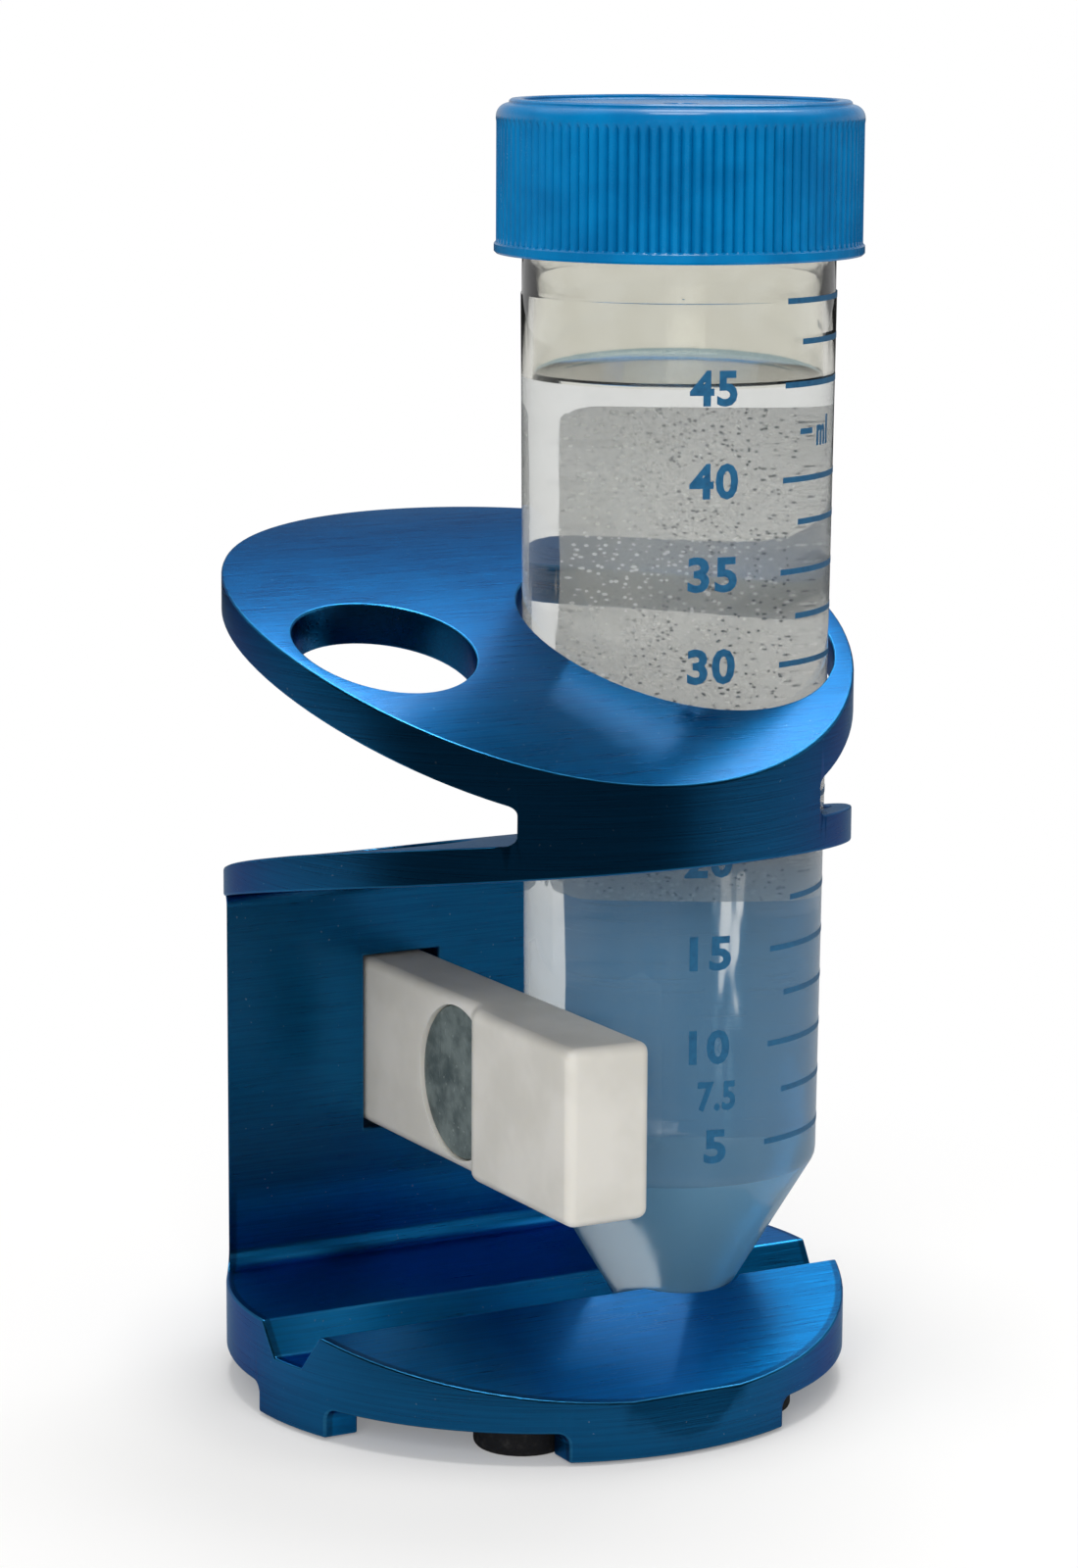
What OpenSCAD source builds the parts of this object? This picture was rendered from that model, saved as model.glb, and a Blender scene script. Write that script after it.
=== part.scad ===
// Magnetic separation rack: a one-piece milled housing that holds a 50 ml conical tube and a 15 ml tube
// on either side of a sliding plastic bar with a disc magnet in it.
// Millimetres, +Z up. The origin is on the axis of the round housing, on the bench that the feet stand on.
// The open front of the housing faces +X, and every cut in it runs straight through along Y.

/* [Housing] */
// Diameter of the round bar that the housing is milled from
housing_d = 60; // [58:0.5:66]
// Height of the rubber feet, from the bench to the underside of the base
underside_z = 3.1; // [2:0.1:5]
// How far the metal legs stay above the bench
leg_gap = 0.3; // [0.1:0.1:1]
// Height of the level ledge at the foot of the wall
ledge_z = 9.5; // [8.5:0.1:11]
// Height of the sloping front deck, measured on the axis
deck_z = 12; // [11:0.1:14]
// Slope of the front deck, down towards the front, in degrees
deck_slope = 11.9; // [5:0.1:15]
// Thickness of the back wall at its thickest
wall_t = 14; // [11:0.5:18]
// Fillet along the foot of the wall
wall_foot_r = 1.8; // [0.5:0.1:3]
// Fillet under the middle plate, in the corner with the wall
wall_head_r = 1.5; // [0.5:0.1:3]

/* [Middle plate] */
// Height of its upper face on the axis
mid_top_z = 53.4; // [52:0.1:58]
// Slope of its upper face on the axis, up towards the front, in degrees
mid_top_slope = 13; // [8:0.5:15]
// Radius of the slight arch of its upper face
mid_top_r = 240; // [180:5:400]
// Height of its lower face on the axis
mid_bottom_z = 50.2; // [45:0.1:51]
// Slope of its lower face on the axis, up towards the front, in degrees
mid_bottom_slope = 11.6; // [8:0.2:14]
// Radius of the slight arch of its lower face
mid_bottom_r = 400; // [240:10:500]

/* [Top plate] */
// Height of its upper face on the axis
top_z = 75.4; // [73:0.1:82]
// Slope of its upper face on the axis, down towards the front, in degrees
top_slope = 16.8; // [10:0.2:18]
// Radius of the arch of its upper face
top_r = 158; // [140:2:300]
// Thickness of the plate
top_t = 3.7; // [3:0.1:5]
// Thickness of the web that joins the two plates at the front
web_t = 4.65; // [3:0.05:6]
// Fillets at the closed end of the gap between the plates
gap_r = 0.9; // [0.3:0.1:1.2]

/* [Tube places] */
// Distance from the axis to the line that both tubes stand on
row_x = 5.6; // [4.5:0.1:6]
// Play between the 50 ml tube and its hole
large_play = 0.25; // [0.15:0.05:0.6]
// Metal left between that hole and the rim of the housing
large_rim = 1.84; // [1.5:0.02:2.4]
// Hole for the 15 ml tube, on the other side of the bar
small_hole_d = 17; // [16.5:0.1:17.5]
// Metal left between that hole and the rim of the housing
small_rim = 1.5; // [1.2:0.1:2.4]

/* [Groove] */
// Height of the floor of the groove that the tips of the tubes stand in
groove_floor_z = 6.35; // [5.8:0.05:7.5]
// Width of that floor
groove_floor_w = 4; // [2:0.1:6]
// Angle of the flanks of the groove, from the vertical, in degrees
groove_flank = 35; // [20:1:45]

/* [Legs] */
// Width of the front and the back leg
leg_wide = 22.8; // [18:0.2:23]
// Width of the two legs under the ends of the groove
leg_narrow = 10.2; // [8:0.2:14]
// How far the legs reach in from the rim
leg_depth = 5.4; // [4:0.1:6]
// Fillet between the legs and the underside
leg_r = 1.1; // [0.5:0.1:1.8]
// Flat on the front rim: how deep it cuts in at its upper edge
flat_cut = 0.55; // [0.2:0.05:1]
// Flat on the front rim: lean from the vertical, in degrees
flat_lean = 8.5; // [5:0.5:15]

/* [Rubber feet] */
// Diameter of a foot
foot_d = 9; // [6:0.5:9.5]
// Gap between a foot and the inner face of the front or back leg
foot_gap = 0.6; // [0.3:0.1:3]
// Distance of the feet from the axis, along Y
foot_y = 12; // [11:0.5:13]
// Round on the lower edge of a foot
foot_edge_r = 0.6; // [0.2:0.1:1]

/* [Magnet bar] */
// How far the back end of the bar stays inside the rim of the housing
bar_tail = 1.5; // [0.5:0.5:6]
// Height of the bar
bar_h = 16.7; // [16:0.1:20]
// Thickness of the bar at its front end
bar_t = 8.6; // [8:0.1:8.8]
// Height of the underside of the bar above the bench
bar_z = 22.1; // [20:0.1:28]
// How far the front end of the bar stays behind the rim of the housing
bar_set_back = 3; // [1:0.5:6]
// Play between the bar and the slot in the wall
bar_play = 0.4; // [0.2:0.05:0.6]
// Gap between the bar and the 50 ml tube
bar_tube_gap = 0.3; // [0.2:0.05:0.6]
// Rounds on the edges of the bar
bar_edge_r = 1.2; // [0.5:0.1:1.5]
// Depth of the recess that lays the magnet bare
recess_t = 1.2; // [0.8:0.1:1.5]
// Distance from the axis to the end of the recess
recess_x = 5.6; // [5:0.1:6.5]
// Radius of the soft step at the end of the recess
recess_r = 2.4; // [1.4:0.1:3]

/* [Magnet] */
// Diameter of the disc magnet
magnet_d = 14.9; // [12:0.1:15.5]
// Thickness of the magnet
magnet_t = 6.5; // [4:0.5:6.5]
// Distance from the axis to the centre of the magnet
magnet_x = 2.7; // [1.5:0.1:4]
// How deep the face of the magnet lies in its pocket
magnet_sink = 0.35; // [0.1:0.05:0.6]
// Glue gap round the magnet
magnet_gap = 0.05; // [0.02:0.01:0.1]
// How far the pocket of the magnet is bored past the floor of the recess
magnet_break = 0.05; // [0.03:0.01:0.1]

/* [50 ml tube] */
// Diameter of the tube under its cap
tube_d = 29.7; // [29:0.1:29.9]
// How much the tube narrows down to where its cone starts
tube_draft = 1.5; // [1:0.1:2.2]
// Length of the tube without its cap
tube_l = 115; // [112:0.5:118]
// Height of the cone at its lower end
cone_l = 16.8; // [15:0.1:18]
// Diameter of the flat tip
tip_d = 8.2; // [7.5:0.1:9]
// Wall of the tube
tube_wall = 1; // [0.8:0.05:1.2]
// Height of the liquid, from the tip of the tube
fill_l = 91.7; // [80:0.1:98]
// Depth of the conical seat below the floor of the groove
seat_depth = 0.95; // [0.5:0.05:1.2]
// Play between the cone of the tube and its seat
seat_play = 0.15; // [0.1:0.05:0.3]
// How much thinner the neck is than the body of the tube, on the radius
neck_step = 0.1; // [0.05:0.05:0.3]
// Distance from the cap down to the foot of the neck
neck_drop = 3.7; // [2:0.1:6]

/* [Screw cap] */
// Wall of the cap at its smooth shoulder
cap_wall = 1.6; // [1.2:0.1:2.2]
// How far the plain lip at the bottom stands out from the shoulder
cap_lip_out = 0.15; // [0.1:0.05:0.5]
// Height of the plain lip
cap_lip_h = 1; // [0.6:0.1:1.5]
// Height of the cap
cap_h = 13.9; // [13:0.1:16]
// Number of ribs
rib_n = 108; // [72:4:120]
// Depth of the grooves between the ribs
rib_t = 0.35; // [0.2:0.05:0.5]
// How far the ribs stand back from the smooth shoulder
rib_back = 0.05; // [0.03:0.01:0.15]
// Height of the smooth shoulder above the ribs
shoulder_h = 3.2; // [2.5:0.1:4]
// Round at the top of the shoulder
shoulder_r = 2.2; // [1.5:0.1:2.6]
// Thickness of the top of the cap
cap_top_t = 2; // [1.6:0.1:2.4]
// Height of the raised rim on top
cap_rim_h = 0.4; // [0.2:0.05:0.6]
// Width of the raised rim on top
cap_rim_w = 1.2; // [0.8:0.1:1.6]
// Diameter of the dimple in the middle of the top
dimple_d = 3.3; // [2:0.1:5]
// Depth of that dimple
dimple_t = 0.25; // [0.1:0.05:0.4]
// How far the thread stands out from the tube
thread_out = 0.75; // [0.5:0.05:0.9]
// Distance from one turn of the thread to the next
thread_pitch = 3; // [2.5:0.1:3.2]
// Play between the thread and the bore of the cap
thread_play = 0.05; // [0.03:0.01:0.1]
// Play between the rim of the tube and the cap
rim_play = 0.1; // [0.05:0.05:0.2]

/* [Hidden] */

fine = 180;         // facets on round pieces
arch_fine = 900;    // facets on the large arches of the plates
small_fine = 48;    // facets on small rounds
arc_steps = 8;      // steps along a milled fillet
past = 2;           // how far a cutting shape runs past the metal
eps = 0.01;

housing_r = housing_d / 2;
out = housing_r + past;
blank_h = top_z + housing_r;
wall_face = housing_r - wall_t;
foot_x = housing_r - leg_depth - foot_gap - foot_d / 2;

// Height of the deck at x
function deck_at(x) = deck_z - tan(deck_slope) * x;

// Centre of an arch that passes (0, z) with the given slope, positive where it rises towards the front
function arch_centre(z, slope, r) = [r * sin(slope), z - r * cos(slope)];
// Height of an arch at x
function arch_at(c, r, x) = c.y + sqrt(r * r - (x - c.x) * (x - c.x));

top_c = arch_centre(top_z, -top_slope, top_r);
mid_top_c = arch_centre(mid_top_z, mid_top_slope, mid_top_r);
mid_bottom_c = arch_centre(mid_bottom_z, mid_bottom_slope, mid_bottom_r);
gap_end = housing_r - web_t;

// Groove
floor_half = groove_floor_w / 2;
flank_run = tan(groove_flank);
far_edge_x = row_x - floor_half - (ledge_z - groove_floor_z) * flank_run;
near_edge_x = (row_x + floor_half + (deck_z - groove_floor_z) * flank_run)
              / (1 + tan(deck_slope) * flank_run);

// 50 ml tube, from its tip up
tip_z = groove_floor_z - seat_depth;
tip_r = tip_d / 2;
tube_r = tube_d / 2;
low_r = tube_r - tube_draft / 2;
rim_z = tip_z + tube_l;
cap_z = rim_z + rim_play + cap_top_t - cap_h;
neck_z = cap_z - neck_drop;
neck_r = tube_r - neck_step;
bore_r = tube_r + thread_out + thread_play;
cap_r = bore_r + cap_wall;
// Outer radius of the tube at a height above the cone
function tube_at(z) = low_r + (tube_r - low_r) * (z - tip_z - cone_l) / (neck_z - tip_z - cone_l);
cone_run = (low_r - tip_r) / cone_l;
wall_run = tube_wall * sqrt(1 + cone_run * cone_run);

// Places of the two tubes on their line, as far out as the rim allows
large_hole_r = tube_r + large_play;
large_y = sqrt(pow(housing_r - large_rim - large_hole_r, 2) - row_x * row_x);
small_y = sqrt(pow(housing_r - small_rim - small_hole_d / 2, 2) - row_x * row_x);

// Magnet bar, beside the tube
bar_far_y = large_y - tube_at(bar_z + bar_h) - bar_tube_gap;
bar_near_y = bar_far_y - bar_t;
bar_front = housing_r - bar_set_back;
bar_back = bar_tail - housing_r;
bar_l = bar_front - bar_back;
magnet_z = bar_z + bar_h / 2;
magnet_face_y = bar_near_y + recess_t + magnet_sink;

// A flat shape drawn in the X-Z plane, run along Y from y0 to y1
module along_y(y0, y1) {
    translate([0, y1, 0]) rotate([90, 0, 0]) linear_extrude(y1 - y0) children();
}

// A flat shape drawn in the Y-Z plane, run along X from x0 to x1
module along_x(x0, x1) {
    translate([x0, 0, 0]) rotate([90, 0, 90]) linear_extrude(x1 - x0) children();
}

// Points along an arc from angle a to angle b
function arc_points(centre, r, a, b) =
    [for (i = [0:arc_steps]) let (t = a + (b - a) * i / arc_steps) centre + r * [cos(t), sin(t)]];
// Direction from one point to another
function angle_to(from, to) = atan2(to.y - from.y, to.x - from.x);

// Round bar that lies along Y, for the arched faces of the plates
module arch(c, r) {
    translate([c.x, 0, c.y]) rotate([90, 0, 0]) cylinder(h = 2 * out, r = r, center = true, $fn = arch_fine);
}

// Gap between the two plates, open at the back
module plate_gap() {
    in_r = top_r - top_t;
    // centres of the two fillets, each touching the end of the gap and one arch
    upper = [gap_end - gap_r, arch_at(top_c, in_r - gap_r, gap_end - gap_r)];
    lower = [gap_end - gap_r, arch_at(mid_top_c, mid_top_r + gap_r, gap_end - gap_r)];
    behind = gap_end + past;
    difference() {
        intersection() {
            arch(top_c, in_r);
            translate([-out, -out, 0]) cube([out + gap_end, 2 * out, blank_h]);
        }
        arch(mid_top_c, mid_top_r);
        along_y(-out - past, out + past)
            polygon(concat([[behind, upper.y + past], [behind, upper.y]],
                           arc_points(upper, gap_r, 0, angle_to(top_c, upper))));
        along_y(-out - past, out + past)
            polygon(concat([[behind, lower.y - past], [behind, lower.y]],
                           arc_points(lower, gap_r, 0, angle_to(mid_top_c, lower) - 180)));
    }
}

// Working bay between the base and the middle plate, open at the front
module bay() {
    head = [wall_head_r - wall_face,
            arch_at(mid_bottom_c, mid_bottom_r - wall_head_r, wall_head_r - wall_face)];
    foot = [wall_foot_r - wall_face, ledge_z + wall_foot_r];
    behind = -wall_face - past;
    difference() {
        intersection() {
            arch(mid_bottom_c, mid_bottom_r);
            along_y(-out - past, out + past) polygon(concat(
                arc_points(foot, wall_foot_r, 180, 270),
                [
                    [far_edge_x, ledge_z],
                    [row_x - floor_half, groove_floor_z],
                    [row_x + floor_half, groove_floor_z],
                    [near_edge_x, deck_at(near_edge_x)],
                    [out, deck_at(out)],
                    [out, blank_h],
                    [-wall_face, blank_h],
                ]));
        }
        along_y(-out - 2 * past, out + 2 * past)
            polygon(concat([[behind, head.y + wall_head_r + past], [behind, head.y]],
                           arc_points(head, wall_head_r, 180, angle_to(mid_bottom_c, head))));
    }
}

// Leg, seen from the rim: straight sides that flare into the underside
module leg_profile(w) {
    half = w / 2;
    flare = [half + leg_r, underside_z - leg_r];
    right = concat([[half, leg_gap]], arc_points(flare, leg_r, 180, 90),
                   [[half + leg_r, underside_z + past]]);
    left = [for (i = [len(right) - 1:-1:0]) [-right[i].x, right[i].y]];
    polygon(concat(right, left));
}

// The four legs, rounded by the rim
module legs() {
    inner = housing_r - leg_depth;
    intersection() {
        translate([0, 0, leg_gap]) cylinder(h = deck_z, r = housing_r, $fn = fine);
        union() {
            along_x(inner, out) leg_profile(leg_wide);
            along_x(-out, -inner) leg_profile(leg_wide);
            translate([row_x, 0, 0]) {
                along_y(inner, out) leg_profile(leg_narrow);
                along_y(-out, -inner) leg_profile(leg_narrow);
            }
        }
    }
}

// Conical seat for the tip of the 50 ml tube, below the groove
module seat() {
    deep = deck_z - tip_z;
    translate([row_x, large_y, tip_z])
        cylinder(h = deep, r1 = tip_r + seat_play, r2 = tip_r + seat_play + cone_run * deep, $fn = fine);
}

// Slot in the wall that the bar slides through
module bar_slot() {
    y0 = bar_near_y + recess_t - bar_play;
    y1 = bar_far_y + bar_play;
    translate([-out, y0, bar_z - bar_play])
        cube([out - wall_face + past, y1 - y0, bar_h + 2 * bar_play]);
}

// Flat on the front rim, leaning out towards the bench
module rim_flat() {
    translate([housing_r - flat_cut, 0, deck_at(housing_r)]) rotate([0, -flat_lean, 0])
        translate([0, -housing_r / 2, -deck_z]) cube([housing_r, housing_r, 2 * deck_z]);
}

module housing() {
    color("#12508a") difference() {
        union() {
            intersection() {
                translate([0, 0, underside_z])
                    cylinder(h = blank_h - underside_z, r = housing_r, $fn = fine);
                arch(top_c, top_r);
            }
            legs();
        }
        plate_gap();
        bay();
        translate([row_x, large_y, ledge_z + past]) cylinder(h = blank_h, r = large_hole_r, $fn = fine);
        translate([row_x, -small_y, ledge_z + past]) cylinder(h = blank_h, d = small_hole_d, $fn = fine);
        seat();
        bar_slot();
        rim_flat();
    }
}

// Plan of the bar from its back end, with one long recess and a soft step where the recess ends
module bar_plan() {
    // two arcs of one radius meet half way up the step
    turn = acos(1 - recess_t / (2 * recess_r));
    run = recess_r * sin(turn);
    step_x = recess_x - bar_back;
    low_arc = [for (i = [0:arc_steps]) let (a = turn * i / arc_steps)
               [step_x + recess_r * sin(a), recess_t - recess_r * (1 - cos(a))]];
    high_arc = [for (i = [1:arc_steps]) let (a = turn * (1 - i / arc_steps))
                [step_x + 2 * run - recess_r * sin(a), recess_r * (1 - cos(a))]];
    polygon(concat([[-past, bar_t + past], [-past, recess_t]], low_arc, high_arc,
                   [[step_x + 2 * run, -past], [bar_l + past, -past], [bar_l + past, bar_t + past]]));
}

// Rectangle from the origin with round corners, true arcs
module round_rect(w, h, r) {
    for (x = [r, w - r], y = [r, h - r]) translate([x, y]) circle(r, $fn = small_fine);
    translate([r, 0]) square([w - 2 * r, h]);
    translate([0, r]) square([w, h - 2 * r]);
}

module magnet_bar() {
    color("#dcdad2") translate([bar_back, bar_near_y, bar_z]) difference() {
        intersection() {
            translate([0, 0, -past]) linear_extrude(bar_h + 2 * past) bar_plan();
            along_x(0, bar_l) round_rect(bar_t, bar_h, bar_edge_r);
            along_y(0, bar_t) round_rect(bar_l, bar_h, bar_edge_r);
            linear_extrude(bar_h) round_rect(bar_l, bar_t, bar_edge_r);
        }
        // pocket bored from the far side until it breaks out into the recess
        translate([magnet_x - bar_back, recess_t - magnet_break, bar_h / 2]) rotate([-90, 0, 0])
            cylinder(h = bar_t, d = magnet_d + 2 * magnet_gap, $fn = fine);
    }
}

module disc_magnet() {
    color("#4c5553") translate([magnet_x, magnet_face_y + magnet_t, magnet_z]) rotate([90, 0, 0])
        cylinder(h = magnet_t, d = magnet_d, $fn = fine);
}

// Half section of the inside of the tube, up to a height
function inside_points(z) = [
    [0, tip_z + tube_wall],
    [tip_r - wall_run + cone_run * tube_wall, tip_z + tube_wall],
    [tube_at(tip_z + cone_l) - tube_wall, tip_z + cone_l + tube_wall / 2],
    [tube_at(z) - tube_wall, z],
    [0, z],
];

// Turns of the thread, as plain rings under the cap
thread_z = [for (i = [1:3]) rim_z - i * thread_pitch];
thread_half = 0.6;

module sample_tube() {
    color("#cfd8da", 0.4) translate([row_x, large_y, 0]) difference() {
        union() {
            rotate_extrude($fn = fine) polygon(concat(
                [[0, tip_z], [tip_r, tip_z], [low_r, tip_z + cone_l], [tube_r, neck_z],
                 [neck_r, neck_z + neck_step], [neck_r, rim_z], [0, rim_z]]));
            for (z = thread_z) translate([0, 0, z]) rotate_extrude($fn = fine)
                polygon([[tube_r - tube_wall / 2, -thread_half], [neck_r, -thread_half],
                         [tube_r + thread_out, -thread_half / 2], [tube_r + thread_out, thread_half / 2],
                         [neck_r, thread_half], [tube_r - tube_wall / 2, thread_half]]);
        }
        rotate_extrude($fn = fine) polygon(inside_points(neck_z));
        translate([0, 0, neck_z - eps]) cylinder(h = rim_z, r = tube_r - tube_wall, $fn = fine);
    }
}

module sample_liquid() {
    color("#8fa9bd", 0.6) translate([row_x, large_y, 0])
        rotate_extrude($fn = fine) polygon(inside_points(tip_z + fill_l));
}

// Outline of the ribbed part, seen from above
module rib_plan() {
    r0 = cap_r - rib_back;
    pitch = 360 / rib_n;
    polygon([for (i = [0:rib_n - 1], p = [[0, -rib_t], [0.25, -rib_t], [0.45, 0], [0.8, 0]])
             let (a = (i + p[0]) * pitch, r = r0 + p[1]) [r * cos(a), r * sin(a)]]);
}

module screw_cap() {
    top = cap_z + cap_h;
    shoulder_z = top - shoulder_h;
    color("#1268b3") translate([row_x, large_y, 0]) difference() {
        union() {
            translate([0, 0, cap_z]) cylinder(h = cap_lip_h, r = cap_r + cap_lip_out, $fn = fine);
            translate([0, 0, cap_z + cap_lip_h])
                linear_extrude(shoulder_z - cap_z - cap_lip_h) rib_plan();
            rotate_extrude($fn = fine) {
                translate([0, shoulder_z]) square([cap_r, shoulder_h - shoulder_r]);
                translate([0, top - shoulder_r]) square([cap_r - shoulder_r, shoulder_r]);
                intersection() {
                    translate([cap_r - shoulder_r, top - shoulder_r]) circle(shoulder_r, $fn = small_fine);
                    translate([cap_r - shoulder_r, top - shoulder_r]) square(shoulder_r);
                }
            }
            translate([0, 0, top]) cylinder(h = cap_rim_h, r = cap_r - shoulder_r, $fn = fine);
        }
        translate([0, 0, cap_z - past]) cylinder(h = cap_h - cap_top_t + past, r = bore_r, $fn = fine);
        translate([0, 0, top]) cylinder(h = past, r = cap_r - shoulder_r - cap_rim_w, $fn = fine);
        translate([0, 0, top - dimple_t]) cylinder(h = past, d = dimple_d, $fn = small_fine);
    }
}

// Rubber foot under the base; side_x and side_y say which quarter it stands in
module foot(side_x, side_y) {
    r = foot_d / 2;
    color("#1b1c1e") translate([side_x * foot_x, side_y * foot_y, 0]) rotate_extrude($fn = 96) {
        translate([0, foot_edge_r]) square([r, underside_z - foot_edge_r]);
        square([r - foot_edge_r, foot_edge_r]);
        intersection() {
            translate([r - foot_edge_r, foot_edge_r]) circle(foot_edge_r, $fn = small_fine);
            translate([r - foot_edge_r, 0]) square(foot_edge_r);
        }
    }
}

housing();
magnet_bar();
disc_magnet();
sample_tube();
sample_liquid();
screw_cap();
foot(1, -1);  // foot_front_left
foot(1, 1);  // foot_front_right
foot(-1, -1);  // foot_back_left
foot(-1, 1);  // foot_back_right
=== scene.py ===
"""Looks of the magnetic separation rack.

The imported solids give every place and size. This script dresses them: it softens the milled
edges of the housing, turns the tube, its liquid and its ribbed cap, prints the graduation, and
lights all of it on a plain white bench. Sizes are in millimetres and become metres where a mesh
is made.
"""

import logging
import math
from collections.abc import Callable, Sequence
from dataclasses import dataclass, field
from enum import Enum, IntEnum
from typing import Any

import bpy
from mathutils import Matrix, Vector


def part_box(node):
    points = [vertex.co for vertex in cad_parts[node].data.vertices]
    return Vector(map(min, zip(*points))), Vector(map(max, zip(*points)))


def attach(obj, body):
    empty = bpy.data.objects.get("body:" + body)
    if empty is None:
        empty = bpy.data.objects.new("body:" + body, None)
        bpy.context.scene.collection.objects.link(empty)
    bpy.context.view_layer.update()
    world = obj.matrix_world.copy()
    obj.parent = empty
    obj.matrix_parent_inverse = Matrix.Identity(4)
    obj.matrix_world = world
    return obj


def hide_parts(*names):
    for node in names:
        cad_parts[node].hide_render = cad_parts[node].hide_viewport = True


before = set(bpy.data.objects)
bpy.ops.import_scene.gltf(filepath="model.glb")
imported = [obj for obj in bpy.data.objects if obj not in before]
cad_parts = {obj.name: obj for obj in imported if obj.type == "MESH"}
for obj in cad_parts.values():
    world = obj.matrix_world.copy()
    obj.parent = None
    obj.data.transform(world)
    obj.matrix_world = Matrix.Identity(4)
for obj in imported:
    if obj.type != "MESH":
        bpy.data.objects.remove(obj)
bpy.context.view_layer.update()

LOG = logging.getLogger("rack")
MM = 0.001

Pair = tuple[float, float]
Triple = tuple[float, float, float]

CLOSE = 0.01 * MM
NEAR = 0.02 * MM
ROUND_SIDES = 160
PLASTIC_IOR = 1.5
WATER_IOR = 1.333
LIGHT_PASSED = 0.85
WHITE = (1.0, 1.0, 1.0, 1.0)
BACK: Pair = (-0.877, 0.48)


class Body(Enum):
    """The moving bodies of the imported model."""

    RACK = "rack"
    BAR = "bar"
    CAP = "cap"


class Slot(Enum):
    """Names of the material slots of the pieces."""

    HOUSING = "housing"
    MAGNET_BAR = "magnet_bar"
    DISC_MAGNET = "disc_magnet"
    SAMPLE_TUBE = "sample_tube"
    SAMPLE_LIQUID = "sample_liquid"
    SCREW_CAP = "screw_cap"
    FOOT = "foot"


class Element(Enum):
    """What an edit tool acts on."""

    VERTEX = "VERT"
    EDGE = "EDGE"
    FACE = "FACE"


class TubeFace(IntEnum):
    """The kinds of face of the tube, numbered like its materials."""

    DRY = 0
    WETTED = 1
    FROSTED = 2
    FILLED = 3


class LiquidFace(IntEnum):
    """The kinds of face of the liquid, numbered like its materials."""

    SURFACE = 0
    SIDE = 1


class MixSocket(IntEnum):
    """The sockets of a Mix node that mixes colours."""

    FACTOR = 0
    FIRST = 6
    SECOND = 7
    RESULT = 2


# ---------------------------------------------------------------- shader graphs


@dataclass(frozen=True)
class Wire:
    """An output socket that takes Python arithmetic."""

    graph: "Graph"
    socket: bpy.types.NodeSocket

    def _math(self, operation: str, first: Any, second: Any) -> "Wire":
        """Return the wire of a Math node on two values."""
        return self.graph.node("ShaderNodeMath", {"operation": operation}, {0: first, 1: second})

    def __add__(self, other: "Wire | float") -> "Wire":
        """Return the sum."""
        return self._math("ADD", self, other)

    def __radd__(self, other: float) -> "Wire":
        """Return the sum, with the number first."""
        return self._math("ADD", other, self)

    def __sub__(self, other: "Wire | float") -> "Wire":
        """Return the difference."""
        return self._math("SUBTRACT", self, other)

    def __rsub__(self, other: float) -> "Wire":
        """Return the difference, with the number first."""
        return self._math("SUBTRACT", other, self)

    def __mul__(self, other: "Wire | float") -> "Wire":
        """Return the product."""
        return self._math("MULTIPLY", self, other)

    def __rmul__(self, other: float) -> "Wire":
        """Return the product, with the number first."""
        return self._math("MULTIPLY", other, self)

    def __truediv__(self, other: "Wire | float") -> "Wire":
        """Return the quotient."""
        return self._math("DIVIDE", self, other)

    def power(self, exponent: float) -> "Wire":
        """Return this value raised to a power."""
        return self._math("POWER", self, exponent)

    def larger(self, other: "Wire | float") -> "Wire":
        """Return the larger of two values."""
        return self._math("MAXIMUM", self, other)


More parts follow.
